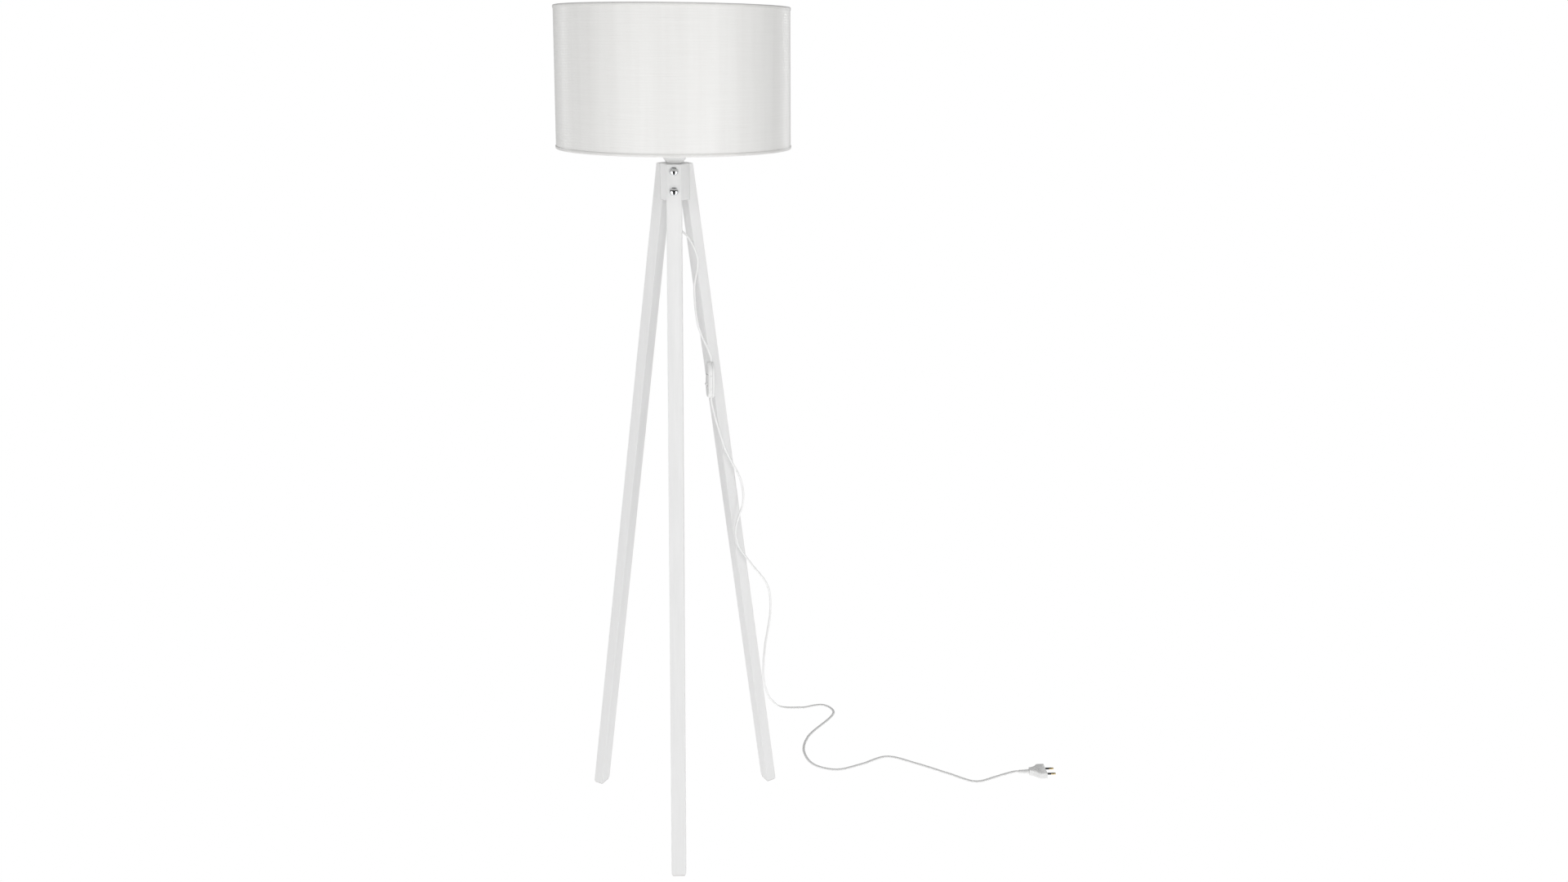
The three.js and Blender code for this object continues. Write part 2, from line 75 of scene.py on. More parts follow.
# ---- Camera ----
def add_camera():
    heading = 0.0423
    pitch = -0.2518
    roll = 0.0089
    level = math.cos(pitch)
    forward = Vector((math.sin(heading) * level, math.cos(heading) * level, math.sin(pitch)))
    level_right = Vector((math.cos(heading), -math.sin(heading), 0))
    level_up = level_right.cross(forward)
    right = level_right * math.cos(roll) + level_up * math.sin(roll)
    up = level_up * math.cos(roll) - level_right * math.sin(roll)
    camera = bpy.data.objects.new("camera", bpy.data.cameras.new("camera"))
    camera.data.sensor_width = 36
    camera.data.lens = 27.84
    camera.data.shift_y = -0.05
    axes = Matrix((right, up, -forward)).transposed().to_4x4()
    camera.matrix_world = Matrix.Translation((0.1018, -2.1065, 1.4503)) @ axes
    bpy.context.scene.collection.objects.link(camera)
    bpy.context.scene.camera = camera


# ---- Meshes ----
def mesh_of(name, vertices, faces, scale=MM):
    mesh = bpy.data.meshes.new(name)
    mesh.from_pydata([tuple(c * scale for c in v) for v in vertices], [], faces)
    mesh.validate()
    mesh.update()
    return mesh


def solid(name, mesh, matrix=None):
    """A new object whose faces all point out."""
    work = bmesh.new()
    work.from_mesh(mesh)
    bmesh.ops.recalc_face_normals(work, faces=work.faces)
    work.to_mesh(mesh)
    work.free()
    made = bpy.data.objects.new(name, mesh)
    if matrix is not None:
        made.matrix_world = matrix
    bpy.context.scene.collection.objects.link(made)
    return made


def evaluated(piece):
    """Applies every modifier of the piece."""
    graph = bpy.context.evaluated_depsgraph_get()
    graph.update()
    result = bpy.data.meshes.new_from_object(piece.evaluated_get(graph))
    old = piece.data
    piece.modifiers.clear()
    piece.data = result
    bpy.data.meshes.remove(old)
    return piece


def bevelled(piece, width, segments=3, angle=30):
    modifier = piece.modifiers.new("edges", "BEVEL")
    modifier.width = width * MM
    modifier.segments = segments
    modifier.limit_method = "ANGLE"
    modifier.angle_limit = math.radians(angle)
    modifier.use_clamp_overlap = True
    return evaluated(piece)


def carved(piece, cutters, joined=False):
    """Cuts the cutters out of the piece, or joins them to it."""
    for cutter in cutters:
        modifier = piece.modifiers.new("cut", "BOOLEAN")
        modifier.operation = "UNION" if joined else "DIFFERENCE"
        modifier.solver = "EXACT"
        modifier.object = cutter
    evaluated(piece)
    for cutter in cutters:
        bpy.data.objects.remove(cutter)
    return piece


def rounded(points, closed=True):
    """A polyline through (r, z, radius) corners, each turned with an arc of that radius."""
    line = []
    count = len(points)
    for index, point in enumerate(points):
        corner = Vector(point[:2])
        radius = point[2] if len(point) > 2 else 0
        if radius == 0 or (not closed and index in (0, count - 1)):
            line.append(tuple(corner))
            continue
        before = (Vector(points[index - 1][:2]) - corner).normalized()
        after = (Vector(points[(index + 1) % count][:2]) - corner).normalized()
        half = before.angle(after) / 2
        reach = radius / math.tan(half)
        middle = corner + (before + after).normalized() * (radius / math.sin(half))
        start = corner + before * reach - middle
        end = corner + after * reach - middle
        sweep = start.angle_signed(end)
        steps = max(2, round(abs(sweep) / math.radians(18)))
        for step in range(steps + 1):
            turn = -sweep * step / steps
            x = middle.x + start.x * math.cos(turn) - start.y * math.sin(turn)
            y = middle.y + start.x * math.sin(turn) + start.y * math.cos(turn)
            line.append((x, y))
    return line


def revolved(name, profile, segments, radius_at=None):
    """A closed (r, z) outline turned about Z. Points with r = 0 become one vertex each. UVs are the distance
    round the piece and the distance along its outline, in metres. radius_at(r, z, angle) may reshape it."""
    vertices = []
    rows = []
    for r, z in profile:
        if r < 1e-6:
            rows.append([len(vertices)] * segments)
            vertices.append((0, 0, z))
            continue
        rows.append(list(range(len(vertices), len(vertices) + segments)))
        for step in range(segments):
            angle = 2 * math.pi * step / segments
            reach = radius_at(r, z, angle) if radius_at else r
            vertices.append((reach * math.cos(angle), reach * math.sin(angle), z))
    along = [0]
    for (r0, z0), (r1, z1) in zip(profile, profile[1:] + profile[:1]):
        along.append(along[-1] + math.hypot(r1 - r0, z1 - z0) * MM)
    round_length = 2 * math.pi * max(r for r, _ in profile) * MM
    faces = []
    uvs = []
    for row, first in enumerate(rows):
        second = rows[(row + 1) % len(rows)]
        if first[0] == first[-1] and second[0] == second[-1]:
            continue
        for step in range(segments):
            after = (step + 1) % segments
            corners = [
                (first[step], step, along[row]),
                (first[after], step + 1, along[row]),
                (second[after], step + 1, along[row + 1]),
                (second[step], step, along[row + 1]),
            ]
            kept = []
            for corner in corners:
                if corner[0] not in [k[0] for k in kept]:
                    kept.append(corner)
            faces.append([k[0] for k in kept])
            uvs += [(k[1] / segments * round_length, k[2]) for k in kept]
    mesh = bpy.data.meshes.new(name)
    mesh.from_pydata([tuple(c * MM for c in v) for v in vertices], [], faces)
    mesh.uv_layers.new(name="UVMap").data.foreach_set("uv", [c for pair in uvs for c in pair])
    mesh.update()
    return mesh


def prism(name, outline, low, high):
    """An (x, y) outline raised from low to high."""
    return pillow(name, outline, [(low, 0), (high, 0)])


def extruded(name, profile, width):
    """An (x, z) profile drawn out along Y, half of the width to each side."""
    count = len(profile)
    vertices = [(x, y, z) for y in (-width / 2, width / 2) for x, z in profile]
    faces = [list(range(count)), list(range(count, 2 * count))[::-1]]
    faces += [[i, i + count, (i + 1) % count + count, (i + 1) % count] for i in range(count)]
    return mesh_of(name, vertices, faces)


def cylinder(name, radius, low, high, segments=48):
    return revolved(name, [(0, low), (radius, low), (radius, high), (0, high)], segments)


def block(name, size, centre):
    x, y, z = (s / 2 for s in size)
    corners = ((-1, -1), (1, -1), (1, 1), (-1, 1))
    outline = [(centre[0] + a * x, centre[1] + b * y) for a, b in corners]
    return prism(name, outline, centre[2] - z, centre[2] + z)


def shrunk(outline, inset):
    """A closed outline moved inward by inset."""
    points = np.array(outline, float)
    before = points - np.roll(points, 1, axis=0)
    after = np.roll(points, -1, axis=0) - points
    before /= np.linalg.norm(before, axis=1)[:, None]
    after /= np.linalg.norm(after, axis=1)[:, None]
    normals = np.stack([-(before + after)[:, 1], (before + after)[:, 0]], 1)
    normals /= np.linalg.norm(normals, axis=1)[:, None]
    cosine = np.clip((normals * np.stack([-after[:, 1], after[:, 0]], 1)).sum(1), 0.5, 1)
    return points + normals * (inset / cosine)[:, None]


def squeezed(outline, inset):
    """A closed outline about the origin, made smaller by inset at each end of each axis."""
    points = np.array(outline, float)
    reach = np.abs(points).max(0)
    return points * (reach - inset) / reach


def lofted(name, rings, closed=False):
    """A skin over rings of equally many points: a closed loop of them, or a row with a cap at each end."""
    count = len(rings[0])
    last = len(rings) - 1
    faces = []
    for ring in range(last + closed):
        first = ring * count
        second = (ring + 1) % len(rings) * count
        for i in range(count):
            j = (i + 1) % count
            faces.append([first + i, first + j, second + j, second + i])
    if not closed:
        faces += [list(range(count))[::-1], [last * count + i for i in range(count)]]
    return mesh_of(name, [point for ring in rings for point in ring], faces)


def pillow(name, outline, levels, inward=shrunk):
    """A body whose section at each (height, inset) level is the outline moved inward by inset."""
    rings = []
    for height, inset in levels:
        rings.append([(x, y, height) for x, y in (inward(outline, inset) if inset else outline)])
    return lofted(name, rings)


def shoulder(height, flat, inset):
    """Levels from height - flat to height that turn in by inset on a quarter ellipse."""
    steps = 5
    turns = [math.pi / 2 * step / steps for step in range(steps + 1)]
    return [(height - flat + flat * math.sin(t), inset * (1 - math.cos(t))) for t in turns]


def bezier(a, b, c, d, steps):
    made = []
    for step in range(1, steps + 1):
        t = step / steps
        weights = ((1 - t) ** 3, 3 * t * (1 - t) ** 2, 3 * t * t * (1 - t), t**3)
        made.append(tuple(sum(w * p[k] for w, p in zip(weights, (a, b, c, d))) for k in (0, 1)))
    return made


def swept(name, path, section, sides, closed=False):
    """A section of (side, up) points carried along a path. sides gives each ring's side direction."""
    points = np.array(path, float)
    if closed:
        tangents = np.roll(points, -1, axis=0) - np.roll(points, 1, axis=0)
    else:
        tangents = np.gradient(points, axis=0)
    tangents /= np.linalg.norm(tangents, axis=1)[:, None]
    sides = np.array(sides, float)
    sides -= (sides * tangents).sum(1)[:, None] * tangents
    sides /= np.linalg.norm(sides, axis=1)[:, None]
    ups = np.cross(tangents, sides)
    rings = []
    for point, side, up in zip(points, sides, ups):
        rings.append([tuple(point + a * side + b * up) for a, b in section])
    return lofted(name, rings, closed)


def circle(radius, sides=12):
    turns = [2 * math.pi * side / sides for side in range(sides)]
    return [(radius * math.cos(t), radius * math.sin(t)) for t in turns]


def catmull_rom(points, spacing):
    """The centripetal Catmull-Rom curve that the CAD sweeps its tube along, in even steps."""
    ends = [2 * np.array(points[0], float) - points[1], 2 * np.array(points[-1], float) - points[-2]]
    knots = [ends[0], *[np.array(p, float) for p in points], ends[1]]
    steps = 24
    line = []
    for p0, p1, p2, p3 in zip(knots, knots[1:], knots[2:], knots[3:]):
        d0, d1, d2 = (math.sqrt(np.linalg.norm(b - a)) for a, b in ((p0, p1), (p1, p2), (p2, p3)))
        start = (p1 - p0) / d0 - (p2 - p0) / (d0 + d1) + (p2 - p1) / d1
        end = (p2 - p1) / d1 - (p3 - p1) / (d1 + d2) + (p3 - p2) / d2
        start, end = start * d1, end * d1
        for step in range(steps):
            t = step / steps
            line.append(
                p1 * (2 * t**3 - 3 * t**2 + 1)
                + start * (t**3 - 2 * t**2 + t)
                + p2 * (3 * t**2 - 2 * t**3)
                + end * (t**3 - t**2)
            )
    line.append(knots[-2])
    line = np.array(line)
    reach = np.concatenate([[0], np.cumsum(np.linalg.norm(np.diff(line, axis=0), axis=1))])
    stations = np.linspace(0, reach[-1], round(reach[-1] / spacing) + 1)
    return np.stack([np.interp(stations, reach, line[:, k]) for k in range(3)], 1)


# ---- Materials ----
class Nodes:
    """A node tree built up step by step."""

    def __init__(self, tree):
        self.tree = tree

    def feed(self, socket, value):
        """Links another node's output to the socket, or sets the socket to a plain value."""
        if isinstance(value, bpy.types.NodeSocket):
            self.tree.links.new(value, socket)
        else:
            socket.default_value = value

    def node(self, kind, inputs=None, **settings):
        made = self.tree.nodes.new(kind)
        for key, value in settings.items():
            setattr(made, key, value)
        for name, value in (inputs or {}).items():
            self.feed(made.inputs[name], value)
        return made

    def coordinates(self, scale=(1, 1, 1), rotation=(0, 0, 0), source="Object"):
        where = self.node("ShaderNodeTexCoord").outputs[source]
        inputs = {"Vector": where, "Scale": scale, "Rotation": rotation}
        return self.node("ShaderNodeMapping", inputs).outputs["Vector"]

    def noise(self, vector, scale=1.0, detail=4.0, roughness=0.55, distortion=0.0):
        inputs = {"Vector": vector, "Scale": scale, "Detail": detail}
        inputs |= {"Roughness": roughness, "Distortion": distortion}
        return self.node("ShaderNodeTexNoise", inputs).outputs["Fac"]

    def spread(self, value, low, high, start=0.3, end=0.7, interpolation="LINEAR"):
        """value, mostly between start and end, moved to run from low to high."""
        inputs = {"Value": value, "From Min": start, "From Max": end, "To Min": low, "To Max": high}
        made = self.node("ShaderNodeMapRange", inputs, interpolation_type=interpolation)
        return made.outputs["Result"]

    def math(self, operation, first, second=0):
        made = self.node("ShaderNodeMath", operation=operation)
        self.feed(made.inputs[0], first)
        self.feed(made.inputs[1], second)
        return made.outputs["Value"]


class Shader(Nodes):
    """A surface material. A constant is set on the shader's own socket."""

    def __init__(self, name, color, roughness, metallic=0.0):
        self.material = bpy.data.materials.new(name)
        self.material.use_nodes = True
        super().__init__(self.material.node_tree)
        self.bsdf = self.tree.nodes["Principled BSDF"]
        self.normal = None
        self.set("Base Color", (*color, 1))
        self.set("Roughness", roughness)
        self.set("Metallic", metallic)

    def set(self, name, value):
        self.feed(self.bsdf.inputs[name], value)

    def color_between(self, value, dark, light, start=0.3, end=0.7):
        ramp = self.node("ShaderNodeValToRGB", {"Fac": value})
        for element, position, color in zip(ramp.color_ramp.elements, (start, end), (dark, light)):
            element.position = position
            element.color = (*color, 1)
        self.set("Base Color", ramp.outputs["Color"])

    def roughness_between(self, value, low, high):
        self.set("Roughness", self.spread(value, low, high))

    def bump(self, height, distance_mm, strength=1.0):
        inputs = {"Height": height, "Distance": distance_mm * MM, "Strength": strength}
        if self.normal is not None:
            inputs["Normal"] = self.normal
        self.normal = self.node("ShaderNodeBump", inputs).outputs["Normal"]
        self.set("Normal", self.normal)


def painted_wood(name, lean):
    """Satin white paint with the wood's grain faintly raised under it, along the piece."""
    shader = Shader(name, (0.84, 0.84, 0.84), 0.42)
    grain = shader.noise(shader.coordinates((70, 150, 2.4), (0, lean, 0)), 1, 6, 0.6, 0.4)
    pores = shader.noise(shader.coordinates((420, 900, 9), (0, lean, 0)), 1, 3, 0.6)
    skin = shader.noise(shader.coordinates(), 700, 2)
    shader.color_between(grain, (0.822, 0.822, 0.82), (0.862, 0.862, 0.861))
    shader.roughness_between(grain, 0.36, 0.5)
    shader.bump(grain, 0.10, 0.5)
    shader.bump(pores, 0.05, 0.5)
    shader.bump(skin, 0.02, 0.4)
    return shader.material


def moulded_plastic(name, color, roughness):
    shader = Shader(name, color, roughness)
    flow = shader.noise(shader.coordinates(), 60, 3)
    pitting = shader.noise(shader.coordinates(), 1600, 2)
    light = tuple(c * 1.012 for c in color)
    shader.color_between(flow, tuple(c * 0.985 for c in color), light)
    shader.roughness_between(flow, roughness - 0.05, roughness + 0.06)
    shader.bump(pitting, 0.02, 0.35)
    return shader.material


def plain_metal(name, color, roughness):
    """Metal with fine marks round its Z axis."""
    shader = Shader(name, color, roughness, 1.0)
    marks = shader.noise(shader.coordinates((30, 30, 900)), 1, 4, 0.6)
    shader.color_between(marks, tuple(c * 0.9 for c in color), color)
    shader.roughness_between(marks, roughness * 0.75, roughness * 1.3)
    shader.bump(marks, 0.01, 0.4)
    return shader.material


def polished_metal():
    shader = Shader("polished_steel", (0.80, 0.81, 0.82), 0.07, 1.0)
    smears = shader.noise(shader.coordinates(), 220, 4)
    shader.roughness_between(smears, 0.045, 0.11)
    return shader.material


def slub_fabric(name, dark, light):
    """Satin cloth whose threads lie round the shade, a few of them thicker. UVs are in metres. The threads
    show mostly in the gloss: some are smoother than others."""
    shader = Shader(name, light, 0.4)

    def threads(across, along, detail=3):
        return shader.noise(shader.coordinates((along, across, 1), source="UV"), 1, detail, 0.55, 0.15)

    def rows(across, along, distortion, detail):
        where = shader.coordinates((along, across, 1), source="UV")
        inputs = {"Vector": where, "Scale": 1, "Distortion": distortion, "Detail": detail}
        kinds = {"wave_type": "BANDS", "bands_direction": "Y"}
        return shader.node("ShaderNodeTexWave", inputs, **kinds).outputs["Fac"]

    def mixed(first, share, second):
        rest = shader.math("MULTIPLY", second, 1 - share)
        return shader.math("ADD", shader.math("MULTIPLY", first, share), rest)

    noise_ribs = threads(400, 12)
    ribs = mixed(noise_ribs, 0.68, rows(72, 9, 2.2, 3))
    slubs = shader.spread(threads(620, 55), 0, 1, 0.56, 0.70)
    cloth = mixed(noise_ribs, 0.4, threads(3, 55, 2))
    tone = shader.math("SUBTRACT", cloth, shader.math("MULTIPLY", slubs, 0.035))
    shader.color_between(tone, dark, light, 0.32, 0.62)
    shader.set("Roughness", shader.spread(ribs, 0.31, 0.50, 0.35, 0.65))
    shader.bump(ribs, 0.16, 0.6)
    shader.bump(slubs, 0.12, 0.5)
    shader.bump(threads(9, 620), 0.05, 0.4)
    shader.bump(rows(280, 40, 1.5, 2), 0.05, 0.4)
    shader.set("Specular IOR Level", 0.8)
    shader.set("Sheen Weight", 0.1)
    shader.set("Sheen Roughness", 0.4)
    return shader.material


def laminate():
    """The smooth plastic foil inside the shade, with the cloth faintly felt through it."""
    shader = Shader("shade_lining", (0.85, 0.85, 0.84), 0.35)
    cloth = shader.noise(shader.coordinates((60, 300, 1), source="UV"), 1, 4)
    shader.color_between(cloth, (0.83, 0.83, 0.815), (0.87, 0.87, 0.86))
    shader.bump(cloth, 0.08, 0.4)
    return shader.material


def felt():
    shader = Shader("felt", (0.70, 0.69, 0.68), 0.95)
    fibres = shader.noise(shader.coordinates(), 1400, 5, 0.7, 1.5)
    shader.color_between(fibres, (0.60, 0.59, 0.58), (0.80, 0.79, 0.78))
    shader.bump(fibres, 0.2, 0.8)
    shader.set("Sheen Weight", 0.3)
    return shader.material


def opal_plastic():
    shader = Shader("opal_diffuser", (0.92, 0.915, 0.90), 0.32)
    cloud = shader.noise(shader.coordinates(), 45, 3)
    shader.color_between(cloud, (0.90, 0.895, 0.875), (0.94, 0.937, 0.925))
    shader.roughness_between(cloud, 0.27, 0.36)
    shader.set("Subsurface Weight", 0.15)
    shader.set("Subsurface Radius", (0.01, 0.01, 0.009))
    shader.set("Subsurface Scale", 0.3)
    return shader.material


def soft_sheath(name, color):
    """The lead's flexible sheath: a little waxy, with faint marks along it."""
    shader = Shader(name, color, 0.45)
    handling = shader.noise(shader.coordinates(), 35, 4)
    skin = shader.noise(shader.coordinates(), 1200, 2)
    shader.color_between(handling, tuple(c * 0.975 for c in color), color)
    shader.roughness_between(handling, 0.38, 0.54)
    shader.bump(skin, 0.03, 0.4)
    return shader.material


def make_materials():
    return {
        "leg_paint": painted_wood("leg_paint", LEAN_ANGLE),
        "hub_paint": painted_wood("hub_paint", 0),
        "wire_paint": moulded_plastic("wire_paint", (0.86, 0.86, 0.855), 0.4),
        "white_plastic": moulded_plastic("white_plastic", (0.85, 0.85, 0.845), 0.3),
        "fabric": slub_fabric("slub_fabric", (0.785, 0.78, 0.765), (0.825, 0.822, 0.808)),
        # The hem's cloth is coloured darker than the drum's: painted shade on the rolled edge.
        "hem_painted_shade": slub_fabric("hem_painted_shade", (0.69, 0.685, 0.67), (0.74, 0.735, 0.72)),
        "lining": laminate(),
        "felt": felt(),
        "steel": polished_metal(),
        "zinc": plain_metal("zinc_plate", (0.68, 0.69, 0.70), 0.35),
        "brass": plain_metal("brass", (0.76, 0.60, 0.30), 0.3),
        "steatite": moulded_plastic("steatite", (0.88, 0.86, 0.81), 0.6),
        "opal": opal_plastic(),
        "sheath": soft_sheath("lead_sheath", (0.93, 0.93, 0.925)),
        "brown": soft_sheath("core_brown", (0.23, 0.10, 0.05)),
        "blue": soft_sheath("core_blue", (0.04, 0.14, 0.42)),
        "black": soft_sheath("sleeve_black", (0.03, 0.03, 0.032)),
    }


# ---- Pieces ----
LOOKS = make_materials()


def finish_piece(piece, look, node, body="lamp", angle=35):
    """Gives the piece its material and smooth shading, puts it in its body, and hides the CAD node it stands
    for.
    """
    mesh = piece.data
    if not mesh.materials or mesh.materials[0] is None:
        mesh.materials.clear()
        mesh.materials.append(LOOKS[look])
    mesh.shade_smooth()
    mesh.set_sharp_from_angle(angle=math.radians(angle))
    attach(piece, body)
    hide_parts(node)
    return piece


def add_turned(look, name, node, profile, segments, place=None, angle=35, radius_at=None):
    """A turned piece that stands for a CAD node."""
    piece = solid(name, revolved(name, profile, segments, radius_at), place)
    return finish_piece(piece, look, node, angle=angle)


def turn_about_axis(angle):
    return Matrix.Rotation(math.radians(angle), 4, "Z")


def leg_outer(z):
    return LEG_FOOT_RADIUS - LEAN * z + LEG_DEPTH / 2


def bolt_place(side, z):
    """Where a piece made along +Z goes so that it points straight out of a leg's face at height z."""
    to_face = Matrix.Translation(Vector((leg_outer(z), 0, z)) * MM)
    return turn_about_axis(LEGS[side]) @ to_face @ Matrix.Rotation(math.pi / 2 - LEAN_ANGLE, 4, "Y")


def leg_mesh(name):
    """Cut level at the foot and at the top, with a notch for the hub's side and underside."""
    inner_face = HUB_CORNER_RADIUS + GAP
    notch_z = HUB_BOTTOM_Z - GAP
    profile = [
        (leg_outer(LEG_BOTTOM_Z) - LEG_DEPTH, LEG_BOTTOM_Z),
        (leg_outer(LEG_BOTTOM_Z), LEG_BOTTOM_Z),
        (leg_outer(HUB_TOP_Z), HUB_TOP_Z),
        (inner_face, HUB_TOP_Z),
        (inner_face, notch_z),
        (leg_outer(notch_z) - LEG_DEPTH, notch_z),
    ]
    return extruded(name, profile, LEG_WIDTH)


def add_leg(side):
    leg = solid(f"leg_{side}_painted", leg_mesh(f"leg_{side}"), turn_about_axis(LEGS[side]))
    bevelled(leg, 1.4, 4)
    holes = [
        solid("hole", cylinder("hole", BOLT_SHANK_RADIUS + 0.4, -40, 5, 24), bolt_place(side, z))
        for z in BOLT_HEIGHTS.values()
    ]
    carved(leg, holes)
    finish_piece(leg, "leg_paint", f"leg_{side}")


def add_foot_pad(side):
    thickness = 2.5
    middle = LEG_FOOT_RADIUS - LEAN * LEG_BOTTOM_Z
    mesh = block("pad", (LEG_DEPTH - 3, LEG_WIDTH - 4, thickness), (middle, 0, thickness / 2))
    pad = solid(f"foot_felt_{side}", mesh, turn_about_axis(LEGS[side]))
    bevelled(pad, 0.6, 3)
    finish_piece(pad, "felt", f"foot_pad_{side}")


def bolt_length(z):
    return (leg_outer(z) - BOLT_INNER_END) / math.cos(LEAN_ANGLE)


def add_bolt(side, level):
    """A domed head with a soft rim on a plain shank."""
    z = BOLT_HEIGHTS[level]
    end = -bolt_length(z)
    rim_height = 0.9
    rim_top = GAP + rim_height
    radius = BOLT_HEAD_RADIUS - 0.35
    steps = 12
    dome = []
    for step in range(1, steps):
        turn = math.pi / 2 * step / steps
        rise = (BOLT_HEAD_HEIGHT - rim_height) * math.sin(turn)
        dome.append((radius * math.cos(turn), rim_top + rise))
    dome.append((0, GAP + BOLT_HEAD_HEIGHT))
    rim = [(BOLT_HEAD_RADIUS - 0.4, GAP), (BOLT_HEAD_RADIUS, GAP + 0.3), (BOLT_HEAD_RADIUS, GAP + 0.6)]
    shank = [(0, end), (BOLT_SHANK_RADIUS - 0.6, end), (BOLT_SHANK_RADIUS, end + 0.8)]
    profile = [*shank, (BOLT_SHANK_RADIUS, GAP), *rim, (radius, rim_top), *dome]
    names = f"bolt_{side}_{level}", f"leg_bolt_{side}_{level}"
    add_turned("steel", *names, profile, 64, bolt_place(side, z), 60)


def add_hub():
    """A block with six sides: three carry the legs, and three show between them."""
    half = (2 * HUB_SIDE_RADIUS - HUB_CORNER_RADIUS) * math.tan(math.radians(30))
    outline = []
    for angle in sorted(LEGS.values()):
        for side in (-half, half):
            corner = turn_about_axis(angle) @ Vector((HUB_CORNER_RADIUS, side, 0))
            outline.append((corner.x, corner.y))
    hub = solid("hub_painted", prism("hub", outline, HUB_BOTTOM_Z, HUB_TOP_Z))
    bevelled(hub, 1.1, 4)
    # Radius, and start and end above the hub's underside: a bore right through, widened below and above.
    bores = ((5.5, -5, 69), (8.3, -5, 10), (9, 55, 69))
    cutters = []
    for radius, low, high in bores:
        cutters.append(solid("bore", cylinder("bore", radius, HUB_BOTTOM_Z + low, HUB_BOTTOM_Z + high)))
    for side in LEGS:
        for z in BOLT_HEIGHTS.values():
            pocket = cylinder("pocket", INSERT_RADIUS, -bolt_length(z) - 1, 5, 24)
            cutters.append(solid("pocket", pocket, bolt_place(side, z)))
    carved(hub, cutters)
    finish_piece(hub, "hub_paint", "hub_block")


# ---- Lampholder and bulb ----
CUP_RADIUS = 20
CUP_HEIGHT = 17
SLEEVE_BORE = 17.2
SLEEVE_RADIUS = 19.4
SLEEVE_SKIRT = 20.6
SLEEVE_FLANGE = 22.5
SLEEVE_LENGTH = 42
SLEEVE_PITCH = 2.8
BULB_SCREW_RADIUS = 12.8
BULB_SCREW_HEIGHT = 20
BULB_PITCH = 3.6
GLOBE_RADIUS = 30
GLOBE_WALL = 1.2


def thread_phase(z, angle, pitch):
    """How far round its thread's wave a point is, in radians."""
    return ((z / pitch - angle / (2 * math.pi)) % 1) * 2 * math.pi


def add_lampholder():
    """A cup on the hub, a threaded sleeve with a flange, and the nut that clamps the shade on it."""
    base = HUB_TOP_Z + GAP
    cup_top = base + CUP_HEIGHT
    cup_inside = CUP_RADIUS - 1.8
    cup = rounded(
        [
            (5.2, base), (14.5, base, 0.8), (16.4, base + 3.6, 3), (CUP_RADIUS, base + 8.6, 2.5),
            (CUP_RADIUS, cup_top, 0.4), (cup_inside, cup_top), (cup_inside, base + 9.5, 2),
            (14, base + 2.5, 1), (5.2, base + 2.5),
        ]
    )
    add_turned("white_plastic", "lampholder_cup", "lampholder_cap", cup, 96)

    body = cup_top + GAP
    top = body + SLEEVE_LENGTH
    under_shade = SPIDER_Z - GAP
    steps = 60
    wall = [(SLEEVE_RADIUS, under_shade + (top - under_shade) * step / steps) for step in range(steps)]
    skirt = rounded(
        [
            (SLEEVE_BORE, body, 0.3), (SLEEVE_SKIRT, body, 0.3), (SLEEVE_SKIRT, SPIDER_Z - 3, 0.3),
            (SLEEVE_FLANGE, SPIDER_Z - 3, 0.5), (SLEEVE_FLANGE, under_shade, 0.3),
        ]
    )
    rim = rounded([(SLEEVE_RADIUS, top, 0.4), (SLEEVE_BORE, top, 0.4)], closed=False)

    def thread(r, z, angle):
        if r != SLEEVE_RADIUS or z < SPIDER_Z + 0.5 or z > top - 2:
            return r
        return r - 0.3 + 0.3 * math.cos(thread_phase(z, angle, SLEEVE_PITCH))

    names = "lampholder_sleeve", "lampholder_body"
    add_turned("white_plastic", *names, skirt + wall + rim, 96, radius_at=thread)

    def ribs(r, z, angle):
        return r - (0.45 if r > SLEEVE_FLANGE - 0.5 and round(angle * 48 / math.pi) % 4 < 2 else 0)

    nut = rounded(
        [
            (19.8, SPIDER_Z + 2.5), (28, SPIDER_Z + 2.5, 0.8), (28, SPIDER_Z + 5, 0.8),
            (25, SPIDER_Z + 7, 1), (23, SPIDER_Z + 12, 0.8), (19.8, SPIDER_Z + 12, 0.4),
        ]
    )
    add_turned("white_plastic", "ring_nut", "shade_ring_nut", nut, 192, radius_at=ribs)


